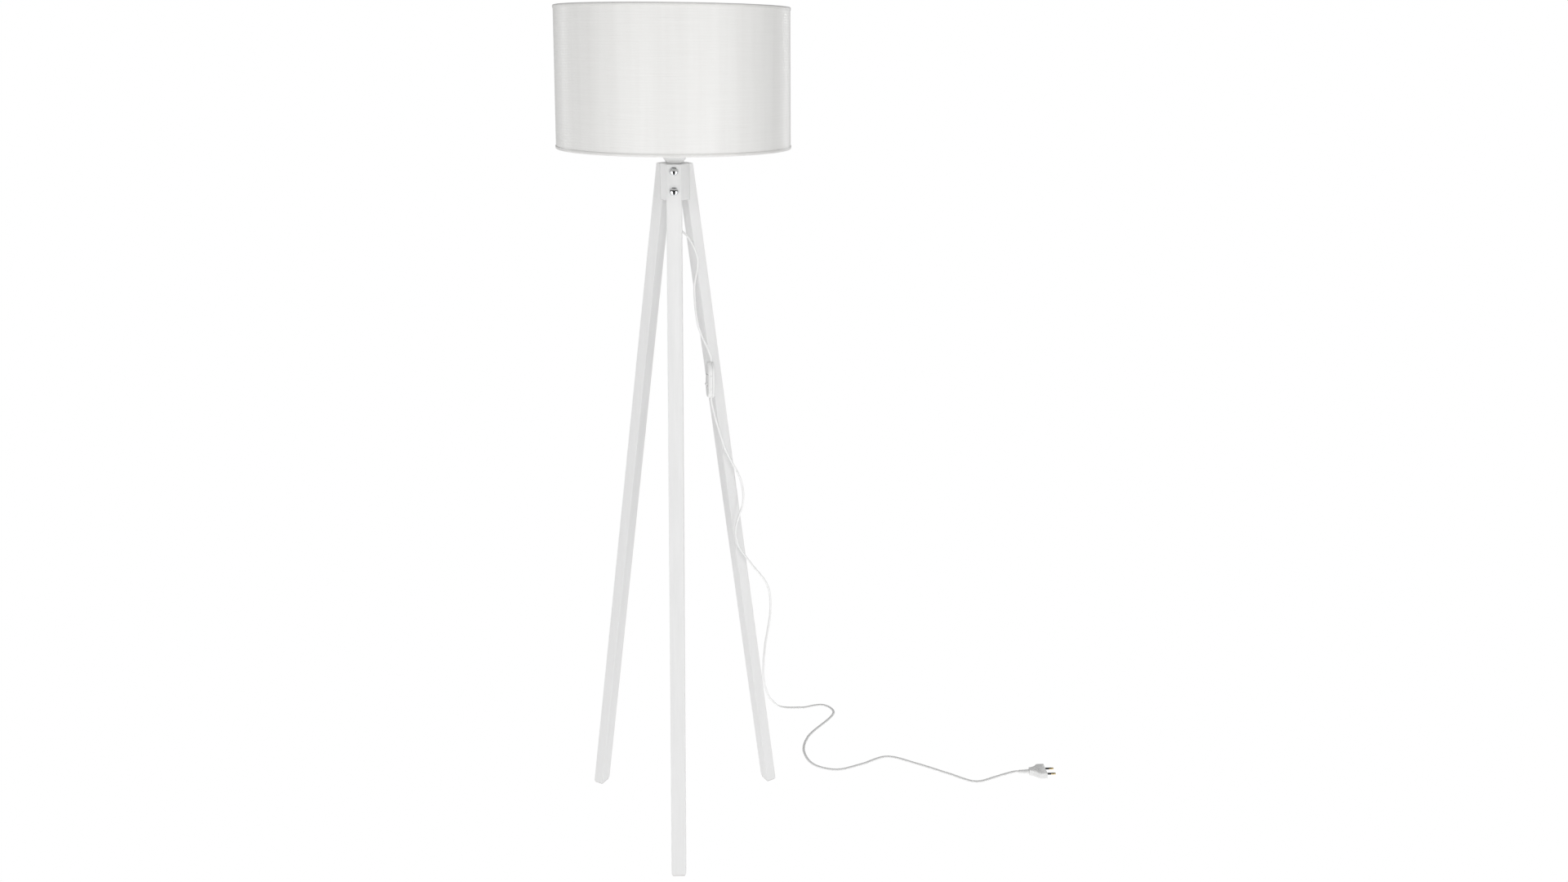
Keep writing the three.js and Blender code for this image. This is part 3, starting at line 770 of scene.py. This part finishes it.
def add_bulb():
    """A contact, a screw cap, a plastic housing that widens upward, and an opal globe open below."""
    tip_top = BULB_BASE_Z + 1.7
    tip = rounded([(0, BULB_BASE_Z), (2.5, BULB_BASE_Z, 0.5), (4.5, tip_top), (0, tip_top)])
    add_turned("zinc", "bulb_contact", "bulb_tip", tip, 48)

    cap = BULB_BASE_Z + 2
    cap_top = cap + BULB_SCREW_HEIGHT
    steps = 64
    walls = [(BULB_SCREW_RADIUS, cap + 3.2 + 16 * step / steps) for step in range(steps + 1)]
    profile = [(0, cap), (8, cap), (11.2, cap + 1.6), *walls, (12.5, cap_top), (0, cap_top)]

    def thread(r, z, angle):
        if r != BULB_SCREW_RADIUS:
            return r
        return r - 0.05 + 0.42 * math.cos(thread_phase(z, angle, BULB_PITCH))

    add_turned("zinc", "bulb_screw_cap", "bulb_cap", profile, 72, None, 60, thread)

    low = cap_top + GAP
    outer = [(13.6, 0), (14.1, 5), (15.5, 10), (18, 16.5), (21, 22.5), (24.3, 28.5), (27.5, 34)]
    inner = [(25.7, 34), (22.4, 28.5), (19.1, 22.5), (16.1, 16.5), (13.6, 10), (12.1, 5), (11.6, 0)]
    collar = [(r, low + z) for r, z in outer + inner]
    add_turned("white_plastic", "bulb_housing", "bulb_collar", collar, 96)

    middle = low + 34 + GAP + 12.2
    bore = GLOBE_RADIUS - GLOBE_WALL
    turns = [math.radians(-24 + 114 * step / 24) for step in range(24)]
    outer = [(GLOBE_RADIUS * math.cos(t), middle + GLOBE_RADIUS * math.sin(t)) for t in turns]
    inner = [(bore * math.cos(t), middle + bore * math.sin(t)) for t in turns[::-1]]
    globe = [*outer, (0, middle + GLOBE_RADIUS), (0, middle + bore), *inner]
    add_turned("opal", "bulb_diffuser", "bulb_globe", globe, 96, None, 60)


# ---- Shade ----
HEM = 0.6
WALL = 0.7
HEM_HEIGHT = 5
WIRE = 1.4


def shade_radius(z):
    share = (z - SHADE_BOTTOM_Z) / (SHADE_TOP_Z - SHADE_BOTTOM_Z)
    return SHADE_BOTTOM_RADIUS + (SHADE_TOP_RADIUS - SHADE_BOTTOM_RADIUS) * share


def add_shade_skin():
    """The laminated cloth: a thin drum, cloth outside and foil inside, with its overlap at the back."""
    skin = HEM + GAP
    low, high = SHADE_BOTTOM_Z + skin, SHADE_TOP_Z - skin
    rows = 24
    heights = [low + (high - low) * row / rows for row in range(rows + 1)]
    outer = [(shade_radius(z) - skin, z) for z in heights]
    inner = [(r - WALL, z) for r, z in outer[::-1]]
    seam_angle = math.pi / 2
    seam_half = 6 / SHADE_BOTTOM_RADIUS

    def overlap(r, z, angle):
        if r < shade_radius(z) - skin - WALL / 2:
            return r
        return r + (0.45 if abs(angle - seam_angle) < seam_half else 0)

    drum = solid("shade_skin", revolved("skin", outer + inner, 360, overlap))
    drum.data.materials.append(LOOKS["fabric"])
    drum.data.materials.append(LOOKS["lining"])
    for face in drum.data.polygons:
        outward = Vector((face.center.x, face.center.y, 0)).normalized()
        face.material_index = 0 if face.normal.dot(outward) > -0.5 else 1
    finish_piece(drum, "fabric", "shade_fabric")


def add_hem(name, node, rim_z, towards_middle):
    """The rolled edge: the cloth's own tape turned round the wire, full at the rim, coloured darker as
    painted shade.
    """
    outer = shade_radius(rim_z)
    points = [(outer - HEM, HEM_HEIGHT), (outer - 0.25, HEM_HEIGHT - 0.1), (outer - 0.05, HEM_HEIGHT - 0.9)]
    points += [(outer, 2.6), (outer - 0.1, 1.5), (outer - 0.5, 0.7), (outer - 1.2, 0.2), (outer - 2.2, 0)]
    points += [(outer - 4.2, 0.05), (outer - 4.9, 0.25), (outer - 5, HEM), (outer - 2.4, HEM)]
    points += [(outer - 1.3, HEM + 0.15), (outer - 0.75, HEM + 0.7), (outer - HEM, 1.8)]
    profile = [(r, rim_z + towards_middle * height) for r, height in points]
    add_turned("hem_painted_shade", name, node, profile, 360, None, 50)


def ring_mesh(name, radius, z):
    """A level ring of round wire."""
    path = [(x, y, z) for x, y in circle(radius, 180)]
    return swept(name, path, circle(WIRE), [(0, 0, 1)] * len(path), closed=True)


def rim_wire_radius(rim_z):
    return shade_radius(rim_z) - HEM - WALL - 2 * GAP - WIRE


def add_carrier():
    """The bottom ring, three arms and the fitting ring are welded into one piece."""
    ring_z = SHADE_BOTTOM_Z + HEM + GAP + WIRE
    ring_radius = rim_wire_radius(SHADE_BOTTOM_Z)
    carrier = solid("shade_spider", ring_mesh("spider", ring_radius, ring_z))
    top = SPIDER_Z + 2
    fitting = rounded([(20.2, SPIDER_Z, 0.3), (27, SPIDER_Z, 0.6), (27, top, 0.6), (20.2, top, 0.3)])
    joined = [solid("fitting", revolved("fitting", fitting, 96))]
    for angle in (90, 210, 330):
        inner = (25, 0, SPIDER_Z + 1)
        outer = (ring_radius, 0, ring_z)
        arm = swept("arm", [inner, outer], circle(WIRE - 0.1), [(0, 0, 1)] * 2)
        joined.append(solid("arm", arm, turn_about_axis(angle)))
    carved(carrier, joined, joined=True)
    finish_piece(carrier, "wire_paint", "shade_carrier", angle=50)

    top_z = SHADE_TOP_Z - HEM - GAP - WIRE
    top = solid("shade_top_wire", ring_mesh("top_wire", rim_wire_radius(SHADE_TOP_Z), top_z))
    finish_piece(top, "wire_paint", "shade_top_ring", angle=50)


# ---- Mains lead ----
# A flat two-core flex: two round lobes side by side, in millimetres. The route is the CAD's own, in metres.
FLEX_WIDTH = 5.6
FLEX_THICKNESS = 3.5
HUB_TO_SWITCH = [
    (0, 0, 1.1736), (0, 0, 1.162), (0.009, -0.001, 1.147), (0.023, -0.003, 1.133),
    (0.038, -0.005, 1.096), (0.032, -0.003, 1.046), (0.038, -0.001, 0.976), (0.056, 0.005, 0.928),
    (0.06, 0.006, 0.915), (0.06, 0.006, 0.9084),
]
SWITCH_TO_PLUG = [
    (0.06, 0.006, 0.8416), (0.06, 0.006, 0.834), (0.085, 0.016, 0.74), (0.113, 0.021, 0.678),
    (0.118, 0.024, 0.635), (0.104, 0.028, 0.58), (0.108, 0.03, 0.546), (0.134, 0.034, 0.503),
    (0.164, 0.052, 0.453), (0.172, 0.076, 0.392), (0.163, 0.122, 0.285), (0.161, 0.176, 0.196),
    (0.17, 0.25, 0.112), (0.184, 0.318, 0.05), (0.208, 0.351, 0.014), (0.254, 0.366, 0.0034),
    (0.303, 0.378, 0.0026), (0.325, 0.348, 0.0026), (0.261, 0.246, 0.0026), (0.249, 0.19, 0.0026),
    (0.267, 0.14, 0.0026), (0.312, 0.12, 0.0026), (0.366, 0.138, 0.0026), (0.424, 0.165, 0.0026),
    (0.484, 0.137, 0.0026), (0.545, 0.099, 0.0026), (0.595, 0.07, 0.0026), (0.64, 0.084, 0.0034),
    (0.682, 0.095, 0.0072), (0.69, 0.095, 0.0072),
]
# In millimetres and degrees.
SWITCH_CENTRE = (60, 6, 875)
SWITCH_FACING = 195
PLUG_START = (690.3, 95, 7.2)


def flex_section():
    """Two lobes that meet in a shallow groove, as (side, up) points in millimetres."""
    lobe = FLEX_THICKNESS / 2
    offset = FLEX_WIDTH / 2 - lobe
    points = []
    for side in (1, -1):
        for step in range(9):
            turn = math.radians(-112 + 28 * step)
            points.append((side * (offset + lobe * math.cos(turn)), side * lobe * math.sin(turn)))
    return points


def carried(path, first):
    """The path's tangents, and the direction first carried along it without twist."""
    tangents = np.gradient(path, axis=0)
    tangents /= np.linalg.norm(tangents, axis=1)[:, None]
    side = np.array(first, float)
    sides = []
    for tangent in tangents:
        side = side - (side @ tangent) * tangent
        side = side / np.linalg.norm(side)
        sides.append(side)
    return tangents, sides


def twisted_to(last, tangents, sides):
    """The sides, turned evenly along the path so that the end one lies along last, either way round."""
    wanted = np.array(last, float) - (np.array(last) @ tangents[-1]) * tangents[-1]
    wanted /= np.linalg.norm(wanted)
    twist = math.atan2(np.cross(sides[-1], wanted) @ tangents[-1], sides[-1] @ wanted)
    twist = (twist + math.pi / 2) % math.pi - math.pi / 2
    turned = []
    for side, tangent, share in zip(sides, tangents, np.linspace(0, 1, len(sides))):
        turn = twist * share
        turned.append(side * math.cos(turn) + np.cross(tangent, side) * math.sin(turn))
    return turned


def levelled(path, tangents, sides):
    """The sides, turned level as the path comes down: not at all above 0.35 m, fully below 0.05 m."""
    turned = []
    for side, tangent, share in zip(sides, tangents, np.clip((0.35 - path[:, 2]) / 0.3, 0, 1)):
        flat = np.cross((0, 0, 1), tangent)
        if flat @ side < 0:
            flat = -flat
        turned.append(side * (1 - share) + flat * share)
    return turned


def extended(path, before, after):
    """The path with a straight piece of a given length put on at each end, into what holds it."""
    start = (path[0] - path[1]) / np.linalg.norm(path[0] - path[1])
    end = (path[-1] - path[-2]) / np.linalg.norm(path[-1] - path[-2])
    head = [path[0] + start * before * MM, path[0] + start * before * MM / 2]
    tail = [path[-1] + end * after * MM / 2, path[-1] + end * after * MM]
    return np.vstack([head, path, tail])


def laid_down(path):
    """The flat flex is thinner than the round lead it stands for, so it lies that much lower."""
    round_rest = 0.0026
    flat_rest = FLEX_THICKNESS / 2 * MM + 0.0001
    height = path[:, 2]
    lying = np.clip((0.0042 - height) / 0.0012, 0, 1)
    lowered = path.copy()
    lowered[:, 2] = np.maximum(height - lying * (round_rest - flat_rest), flat_rest)
    return lowered


def add_flex(name, node, path, sides):
    mesh = swept(name, [tuple(p / MM) for p in path], flex_section(), sides)
    return finish_piece(solid(name, mesh), "sheath", node, angle=60)


def add_cord():
    facing = math.radians(SWITCH_FACING)
    across = (-math.sin(facing), math.cos(facing), 0)
    upper = extended(catmull_rom(HUB_TO_SWITCH, 0.003), 8, 5)
    upper_sides = twisted_to(across, *carried(upper, (0, 1, 0)))
    upper_piece = add_flex("lead_upper", "cord_upper", upper, upper_sides)

    lower = laid_down(extended(catmull_rom(SWITCH_TO_PLUG, 0.003), 5, 5.5))
    lower_sides = levelled(lower, *carried(lower, across))
    lower_piece = add_flex("lead_lower", "cord_lower", lower, lower_sides)

    heights = np.linspace(GLAND_TIP_Z + 8, HUB_TOP_Z + 14, 12)
    inside = [np.array((0, 0, z)) * MM for z in heights]
    add_flex("lead_inside", "inner_cord", inside, [(0, 1, 0)] * len(inside))
    return upper_piece, upper, lower_piece, lower


def add_gland():
    """A tapered sleeve with three grooves, so that it bends with the lead, on a flange under the hub."""
    bore, flange, shank = 2.9, 9.5, 7.9
    flange_z, seat_z, top_z = HUB_BOTTOM_Z - 2.5, HUB_BOTTOM_Z - GAP, HUB_BOTTOM_Z + 8
    outline = [(bore, GLAND_TIP_Z), (3.6, GLAND_TIP_Z, 0.4)]
    for groove in range(3):
        z = GLAND_TIP_Z + 5 + groove * 5
        r = 3.6 + 1.6 * (z - GLAND_TIP_Z) / 21.5
        outline += [(r, z), (r - 0.6, z + 0.4), (r - 0.6, z + 1.6), (r + 0.1, z + 2)]
    outline += [(5.2, flange_z, 0.3), (flange, flange_z, 0.6), (flange, seat_z)]
    outline += [(shank, seat_z), (shank, top_z), (bore, top_z)]
    add_turned("white_plastic", "lead_gland", "cord_gland", rounded(outline), 64)


# ---- Inline switch ----
ROCKER_PIVOT = 4.6
ROCKER_HALF_LENGTH = 9.5
ROCKER_WIDTH = 10.4
ROCKER_TILT = 8
SWITCH_LENGTH = 66
SWITCH_WIDTH = 25
SWITCH_ROOM = (34, 19, 3.4)
SWITCH_SCREWS_X = (-24, 24)
Z_TO_MINUS_Y = Matrix.Rotation(math.pi / 2, 4, "X")


def shifted(x, y, z):
    return Matrix.Translation((x * MM, y * MM, z * MM))


def round_cutter(place, radius, low, high, segments, at):
    """A cylinder moved by at, and then put in place with the piece it cuts."""
    mesh = cylinder("hole", radius, low, high, segments)
    mesh.transform(at)
    return solid("hole", mesh, place)


def switch_place():
    facing = math.radians(SWITCH_FACING)
    out = Vector((math.cos(facing), math.sin(facing), 0))
    along = Vector((0, 0, 1))
    across = out.cross(along)
    place = Matrix((along, across, out)).transposed().to_4x4()
    return Matrix.Translation(Vector(SWITCH_CENTRE) * MM) @ place


def switch_outline():
    half, side = SWITCH_LENGTH / 2, SWITCH_WIDTH / 2
    start = half - 19
    corner = bezier((start, -side), (half - 8, -side), (half, -5), (half, -3.6), 12)
    lower = [(start, -side), *corner]
    upper = [(x, -y) for x, y in lower[::-1]]
    right = lower + upper
    left = [(-x, -y) for x, y in right]
    return right + left


def add_switch():
    """Two halves that meet at the flex's middle, the rocker in a window of the front one, two screws."""
    place = switch_place()
    outline = switch_outline()

    def cut_block(size, centre):
        return solid("room", block("room", size, centre), place)

    channel = (SWITCH_LENGTH + 4, 6.2, FLEX_THICKNESS + 0.4)

    back_levels = [(0, 0.25), (0.25, 0), *shoulder(4.2, 2.2, 1.4)]
    back = solid("switch_back", pillow("back", outline, back_levels, squeezed), place)
    back.data.transform(Matrix.Scale(-1, 4, (0, 0, 1)))
    back.data.flip_normals()
    holes = [cut_block(SWITCH_ROOM, (0, 0, -0.9)), cut_block(channel, (0, 0, 0))]
    for x in SWITCH_SCREWS_X:
        for radius, low, high in ((1.5, -6, 2), (2.7, -6, -2.3)):
            holes.append(round_cutter(place, radius, low, high, 32, shifted(x, 0, 0)))
    carved(back, holes)
    finish_piece(back, "white_plastic", "switch_base")

    front_levels = [(GAP, 0.25), (GAP + 0.25, 0), *shoulder(7.4, 3.4, 2.2)]
    front = solid("switch_front", pillow("front", outline, front_levels, squeezed), place)
    holes = [cut_block(SWITCH_ROOM, (0, 0, 2.2)), cut_block(channel, (0, 0, 0))]
    reach, side = ROCKER_HALF_LENGTH + 1.5, (ROCKER_WIDTH + 1) / 2
    window = rounded([(-reach, -side, 1), (reach, -side, 1), (reach, side, 1), (-reach, side, 1)])
    holes.append(solid("window", prism("window", window, 1, 20), place))
    holes.append(round_cutter(place, 1.05, -7, 7, 24, shifted(0, 0, ROCKER_PIVOT) @ Z_TO_MINUS_Y))
    for x in SWITCH_SCREWS_X:
        holes.append(round_cutter(place, 1.35, -1, 4.4, 24, shifted(x, 0, 0)))
    for x, radius in ((9.8, 1.3), (-14.8, 1.1)):
        at = shifted(x, -SWITCH_WIDTH / 2 + 1.2, 3.1) @ Z_TO_MINUS_Y
        holes.append(round_cutter(place, radius, 0, 2.4, 24, at))
    carved(front, holes)
    finish_piece(front, "white_plastic", "switch_cover")

    add_rocker(place)
    for index, x in enumerate(SWITCH_SCREWS_X):
        add_switch_screw(index + 1, place @ shifted(x, 0, 0))


def add_rocker(place):
    """A dished top on a round boss, with a bore for the pin."""
    half = ROCKER_HALF_LENGTH
    outline = []
    for step in range(17):
        x = half - 2 * half * step / 16
        outline.append((x, 2.6 + 2.3 * (x / half) ** 2))
    outline += [(-half + 0.6, -1.4), (-3, -1.5)]
    for step in range(9):
        turn = math.radians(202 + 17 * step)
        outline.append((3.1 * math.cos(turn), -0.2 + 3.1 * math.sin(turn)))
    outline += [(3, -1.5), (half - 0.6, -1.4)]
    tilt = Matrix.Rotation(math.radians(ROCKER_TILT), 4, "Y")
    at_pivot = place @ (shifted(0, 0, ROCKER_PIVOT) @ tilt)
    rocker = solid("rocker_cap", extruded("rocker", outline, ROCKER_WIDTH), at_pivot)
    bevelled(rocker, 0.45, 3, 40)
    carved(rocker, [round_cutter(at_pivot, 1.15, -ROCKER_WIDTH, ROCKER_WIDTH, 32, Z_TO_MINUS_Y)])
    finish_piece(rocker, "white_plastic", "switch_rocker", body="rocker")


def add_switch_screw(index, place):
    """A raised head with a cross recess, its shank up into the cover."""
    head, seat, end = -3.9, -2.6, 3.6
    profile = rounded(
        [
            (0, head), (1.7, head, 0.4), (2.4, -3.3, 0.3), (2.4, seat), (1.1, seat), (1.1, end - 0.4),
            (0.7, end), (0, end),
        ]
    )
    screw = solid(f"switch_fixing_{index}", revolved("screw", profile, 40), place)
    sizes = ((2.6, 0.55, 1.6), (0.55, 2.6, 1.6))
    carved(screw, [solid("slot", block("slot", size, (0, 0, head)), place) for size in sizes])
    finish_piece(screw, "zinc", f"switch_screw_{index}")


# ---- Plug ----
PLUG_BODY_LENGTH = 35
PLUG_WIDTH = 35.3
PLUG_THICKNESS = 13.6
PLUG_GROOVES = 4
PIN_SPACING = 18.6
PIN_RADIUS = 1.95
PIN_LENGTH = 19
SLEEVE_END = 9.3
RELIEF_LENGTH = 20
Z_TO_X = Matrix.Rotation(math.pi / 2, 4, "Y")


def plug_outline():
    """From the narrow neck at the lead, along a waist, to square shoulders at the pins."""
    start = RELIEF_LENGTH + GAP
    side = -PLUG_WIDTH / 2
    waist_start, waist_end = (start + 4, -6.5), (start + 18, side + 1)
    waist = bezier(waist_start, (start + 9.4, -7.8), (start + 14, -11.2), waist_end, 10)
    corner = bezier(waist_end, (start + 18.7, side + 0.3), (start + 19.7, side), (start + 21, side), 4)
    lower = [(start, -5.5), waist_start, *waist, *corner, (start + PLUG_BODY_LENGTH, side)]
    return lower + [(x, -y) for x, y in lower[::-1]]


def add_plug():
    """A ribbed relief on the lead, a flat body with finger grooves, and two pins with black sleeves."""
    place = Matrix.Translation(Vector(PLUG_START) * MM)
    relief = [(0, 7), (2.9, 7), (2.9, 0), (3.3, 0, 0.15)]
    for groove in range(4):
        z = 3 + groove * 3.6
        r = 3.2 + 1.4 * z / RELIEF_LENGTH
        relief += [(r, z), (r - 0.7, z + 0.3), (r - 0.7, z + 1.3), (r + 0.1, z + 1.6)]
    relief = rounded([*relief, (4.6, RELIEF_LENGTH), (0, RELIEF_LENGTH)])
    names = "plug_relief", "plug_strain_relief"
    parts = [add_turned("white_plastic", *names, relief, 48, place @ Z_TO_X)]

    half = PLUG_THICKNESS / 2
    upper = shoulder(half, 3, 2)
    levels = [(-z, inset) for z, inset in upper[::-1]] + upper
    body = solid("plug_shell", pillow("plug", plug_outline(), levels), place)
    face = RELIEF_LENGTH + GAP + PLUG_BODY_LENGTH
    pins_at = [shifted(0, side * PIN_SPACING / 2, 0) for side in (-1, 1)]
    holes = [round_cutter(place, 2.05, face - 12, face + 5, 32, at @ Z_TO_X) for at in pins_at]
    for step in range(PLUG_GROOVES):
        for top in (-1, 1):
            middle = (RELIEF_LENGTH + 12 + step * 3.2, 0, top * half)
            groove = block("groove", (1.1, 9 + 2.6 * step, 1.0), middle)
            holes.append(bevelled(solid("groove", groove, place), 0.3, 2))
    carved(body, holes)
    parts.append(finish_piece(body, "white_plastic", "plug_body"))

    end = face + PIN_LENGTH
    neck, neck_end = PIN_RADIUS - 0.45, face + SLEEVE_END + 0.2
    pin = [(0, face - 11.5), (neck, face - 11.5), (neck, neck_end), (PIN_RADIUS, neck_end + 0.4)]
    pin += [(PIN_RADIUS, end - 1.4), (1.8, end - 0.7), (1.3, end - 0.2), (0.7, end), (0, end)]
    bore, sleeve_start, sleeve_end = PIN_RADIUS - 0.2, face - 11, face + SLEEVE_END
    sleeve = [(bore, sleeve_start), (PIN_RADIUS, sleeve_start)]
    sleeve = rounded([*sleeve, (PIN_RADIUS, sleeve_end, 0.08), (bore, sleeve_end)])
    for number, at in enumerate(pins_at, 1):
        pin_place = place @ at @ Z_TO_X
        names = f"plug_contact_{number}", f"plug_pin_{number}"
        parts.append(add_turned("brass", *names, pin, 32, pin_place, 50))
        names = f"plug_sleeve_{number}", f"plug_pin_sleeve_{number}"
        parts.append(add_turned("black", *names, sleeve, 32, pin_place))
    return parts


# ---- CAD pieces that stay as they are ----
def finish_inner_pieces():
    kept = {
        "zinc": ["threaded_nipple", "nipple_nut_lower", "nipple_nut_upper", "rocker_pin"],
        "brass": ["screw_shell", "centre_contact", "terminal_screw_live", "terminal_screw_neutral",
                  "switch_contact_fixed", "switch_contact_spring"],
        "steatite": ["contact_carrier"],
        "brown": ["core_live"],
        "blue": ["core_neutral"],
    }
    kept["zinc"] += [f"threaded_insert_{side}_{level}" for side in LEGS for level in BOLT_HEIGHTS]
    for look, names in kept.items():
        for name in names:
            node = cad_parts[name]
            node.data.materials.clear()
            node.data.materials.append(LOOKS[look])


# ---- Studio ----
# The camera sees white round the lamp. Diffuse light comes from the room, the floor and the softboxes. Gloss
# sees a studio with a dark gap straight ahead (-Y), white walls to both sides of it, grey walls beside and
# behind the lamp, and a dark ceiling. The floor looks like the walls, but is white up to GAP_STARTS metres
# from the lamp. Each softbox is its angle from straight ahead, its distance, height, width and length in
# metres, its watts, and whether gloss sees it.
ROOM_LIGHT = 0.33
FLOOR_LIGHT = 1.02
GLOSS_WHITE = 1.15
GLOSS_GREY = 0.36
GLOSS_DARK = 0.015
GAP_HALF_ANGLE = 15
WHITE_ENDS_ANGLE = 72
CEILING_ANGLE = 5
GAP_STARTS = 1.0
SOFTBOXES = {
    "front_left": (-30, 3.0, 0.85, 0.5, 1.7, 7.2, True),
    "front_right": (30, 3.0, 0.85, 0.5, 1.7, 10.8, True),
    "side_left": (-78, 3.0, 1.2, 0.9, 1.6, 2, False),
    "side_right": (62, 3.0, 1.2, 0.9, 1.6, 3.5, False),
    "front_high": (0, 3.4, 2.9, 1.4, 0.8, 17, False),
    "front_middle": (0, 1.4, 1.3, 0.7, 0.4, 2.2, False),
    "rim_left": (-120, 2.4, 1.4, 0.16, 1.6, 5.4, True),
    "rim_right": (140, 2.4, 1.4, 0.16, 1.6, 6, True),
}


class Studio(Nodes):
    """Emission that is white for the camera, diffuse_level for diffuse light, and a pattern for gloss."""

    def ramp(self, value, start, end, low, high):
        return self.spread(value, low, high, start, end, "SMOOTHSTEP")

    def wall_level(self, direction):
        """What gloss sees in a level direction: the gap straight ahead, then the white walls, then grey.
        The direction's height comes with it."""
        parts = self.node("ShaderNodeSeparateXYZ", {"Vector": direction})
        ahead = self.math("MULTIPLY", parts.outputs["Y"], -1)
        angle = self.math("ABSOLUTE", self.math("ARCTAN2", parts.outputs["X"], ahead))
        gap, white = math.radians(GAP_HALF_ANGLE), math.radians(WHITE_ENDS_ANGLE)
        opening = self.ramp(angle, gap * 0.8, gap * 1.2, GLOSS_DARK, GLOSS_WHITE)
        closing = self.ramp(angle, white * 0.9, white * 1.1, GLOSS_WHITE, GLOSS_GREY)
        return self.math("MINIMUM", opening, closing), parts.outputs["Z"]

    def level(self, diffuse_level, gloss_level):
        path = self.node("ShaderNodeLightPath")
        camera, glossy = path.outputs["Is Camera Ray"], path.outputs["Is Glossy Ray"]
        others = self.math("SUBTRACT", self.math("SUBTRACT", 1, camera), glossy)
        lit = self.math("MULTIPLY", others, diffuse_level)
        return self.math("ADD", self.math("ADD", camera, lit), self.math("MULTIPLY", glossy, gloss_level))


def add_floor():
    reach = 8
    corners = [(-reach, -reach, 0), (reach, -reach, 0), (reach, reach, 0), (-reach, reach, 0)]
    floor = solid("floor", mesh_of("floor", corners, [[0, 1, 2, 3]], 1))
    floor.location.z = -0.0006
    material = bpy.data.materials.new("floor_white")
    material.use_nodes = True
    studio = Studio(material.node_tree)
    studio.tree.nodes.clear()
    where = studio.node("ShaderNodeTexCoord").outputs["Object"]
    distance = studio.node("ShaderNodeVectorMath", {0: where}, operation="LENGTH")
    wall, _ = studio.wall_level(where)
    near = studio.ramp(distance.outputs["Value"], GAP_STARTS * 0.9, GAP_STARTS * 1.1, GLOSS_WHITE, 0)
    level = studio.level(FLOOR_LIGHT, studio.math("MAXIMUM", wall, near))
    glow = studio.node("ShaderNodeEmission", {"Strength": level})
    studio.node("ShaderNodeOutputMaterial", {"Surface": glow.outputs["Emission"]})
    floor.data.materials.append(material)


def add_world():
    world = bpy.data.worlds.new("studio")
    bpy.context.scene.world = world
    world.use_nodes = True
    studio = Studio(world.node_tree)
    background = studio.tree.nodes["Background"]
    background.inputs["Color"].default_value = (1, 1, 1, 1)
    wall, height = studio.wall_level(studio.node("ShaderNodeTexCoord").outputs["Generated"])
    ceiling = math.sin(math.radians(CEILING_ANGLE))
    below = studio.ramp(height, ceiling, ceiling + 0.08, GLOSS_WHITE, GLOSS_DARK)
    level = studio.level(ROOM_LIGHT, studio.math("MINIMUM", wall, below))
    studio.feed(background.inputs["Strength"], level)


def add_softboxes():
    """Each stands on a circle round the lamp, at an angle from straight ahead, and faces the lamp."""
    for name, (angle, distance, height, width, tall, watts, in_gloss) in SOFTBOXES.items():
        light = bpy.data.lights.new(name, "AREA")
        light.shape = "RECTANGLE"
        light.size = width
        light.size_y = tall
        light.energy = watts
        box = bpy.data.objects.new(name, light)
        turn = math.radians(angle)
        box.location = (distance * math.sin(turn), -distance * math.cos(turn), height)
        aim = Vector((0, 0, 1.0 if height < 2 else 0.8)) - box.location
        box.rotation_euler = aim.to_track_quat("-Z", "Y").to_euler()
        box.visible_camera = False
        box.visible_glossy = in_gloss
        bpy.context.scene.collection.objects.link(box)


def main():
    scene = bpy.context.scene
    scene.view_settings.view_transform = "Standard"
    add_camera()
    lead_upper, upper, lead_lower, lower = add_cord()
    add_gland()
    for side in LEGS:
        add_leg(side)
        add_foot_pad(side)
        for level in BOLT_HEIGHTS:
            add_bolt(side, level)
    add_hub()
    add_lampholder()
    add_bulb()
    add_shade_skin()
    add_hem("shade_edge_bottom", "shade_hem_bottom", SHADE_BOTTOM_Z, 1)
    add_hem("shade_edge_top", "shade_hem_top", SHADE_TOP_Z, -1)
    add_carrier()
    add_switch()
    plug_parts = add_plug()
    finish_inner_pieces()
    add_floor()
    add_world()
    add_softboxes()


main()
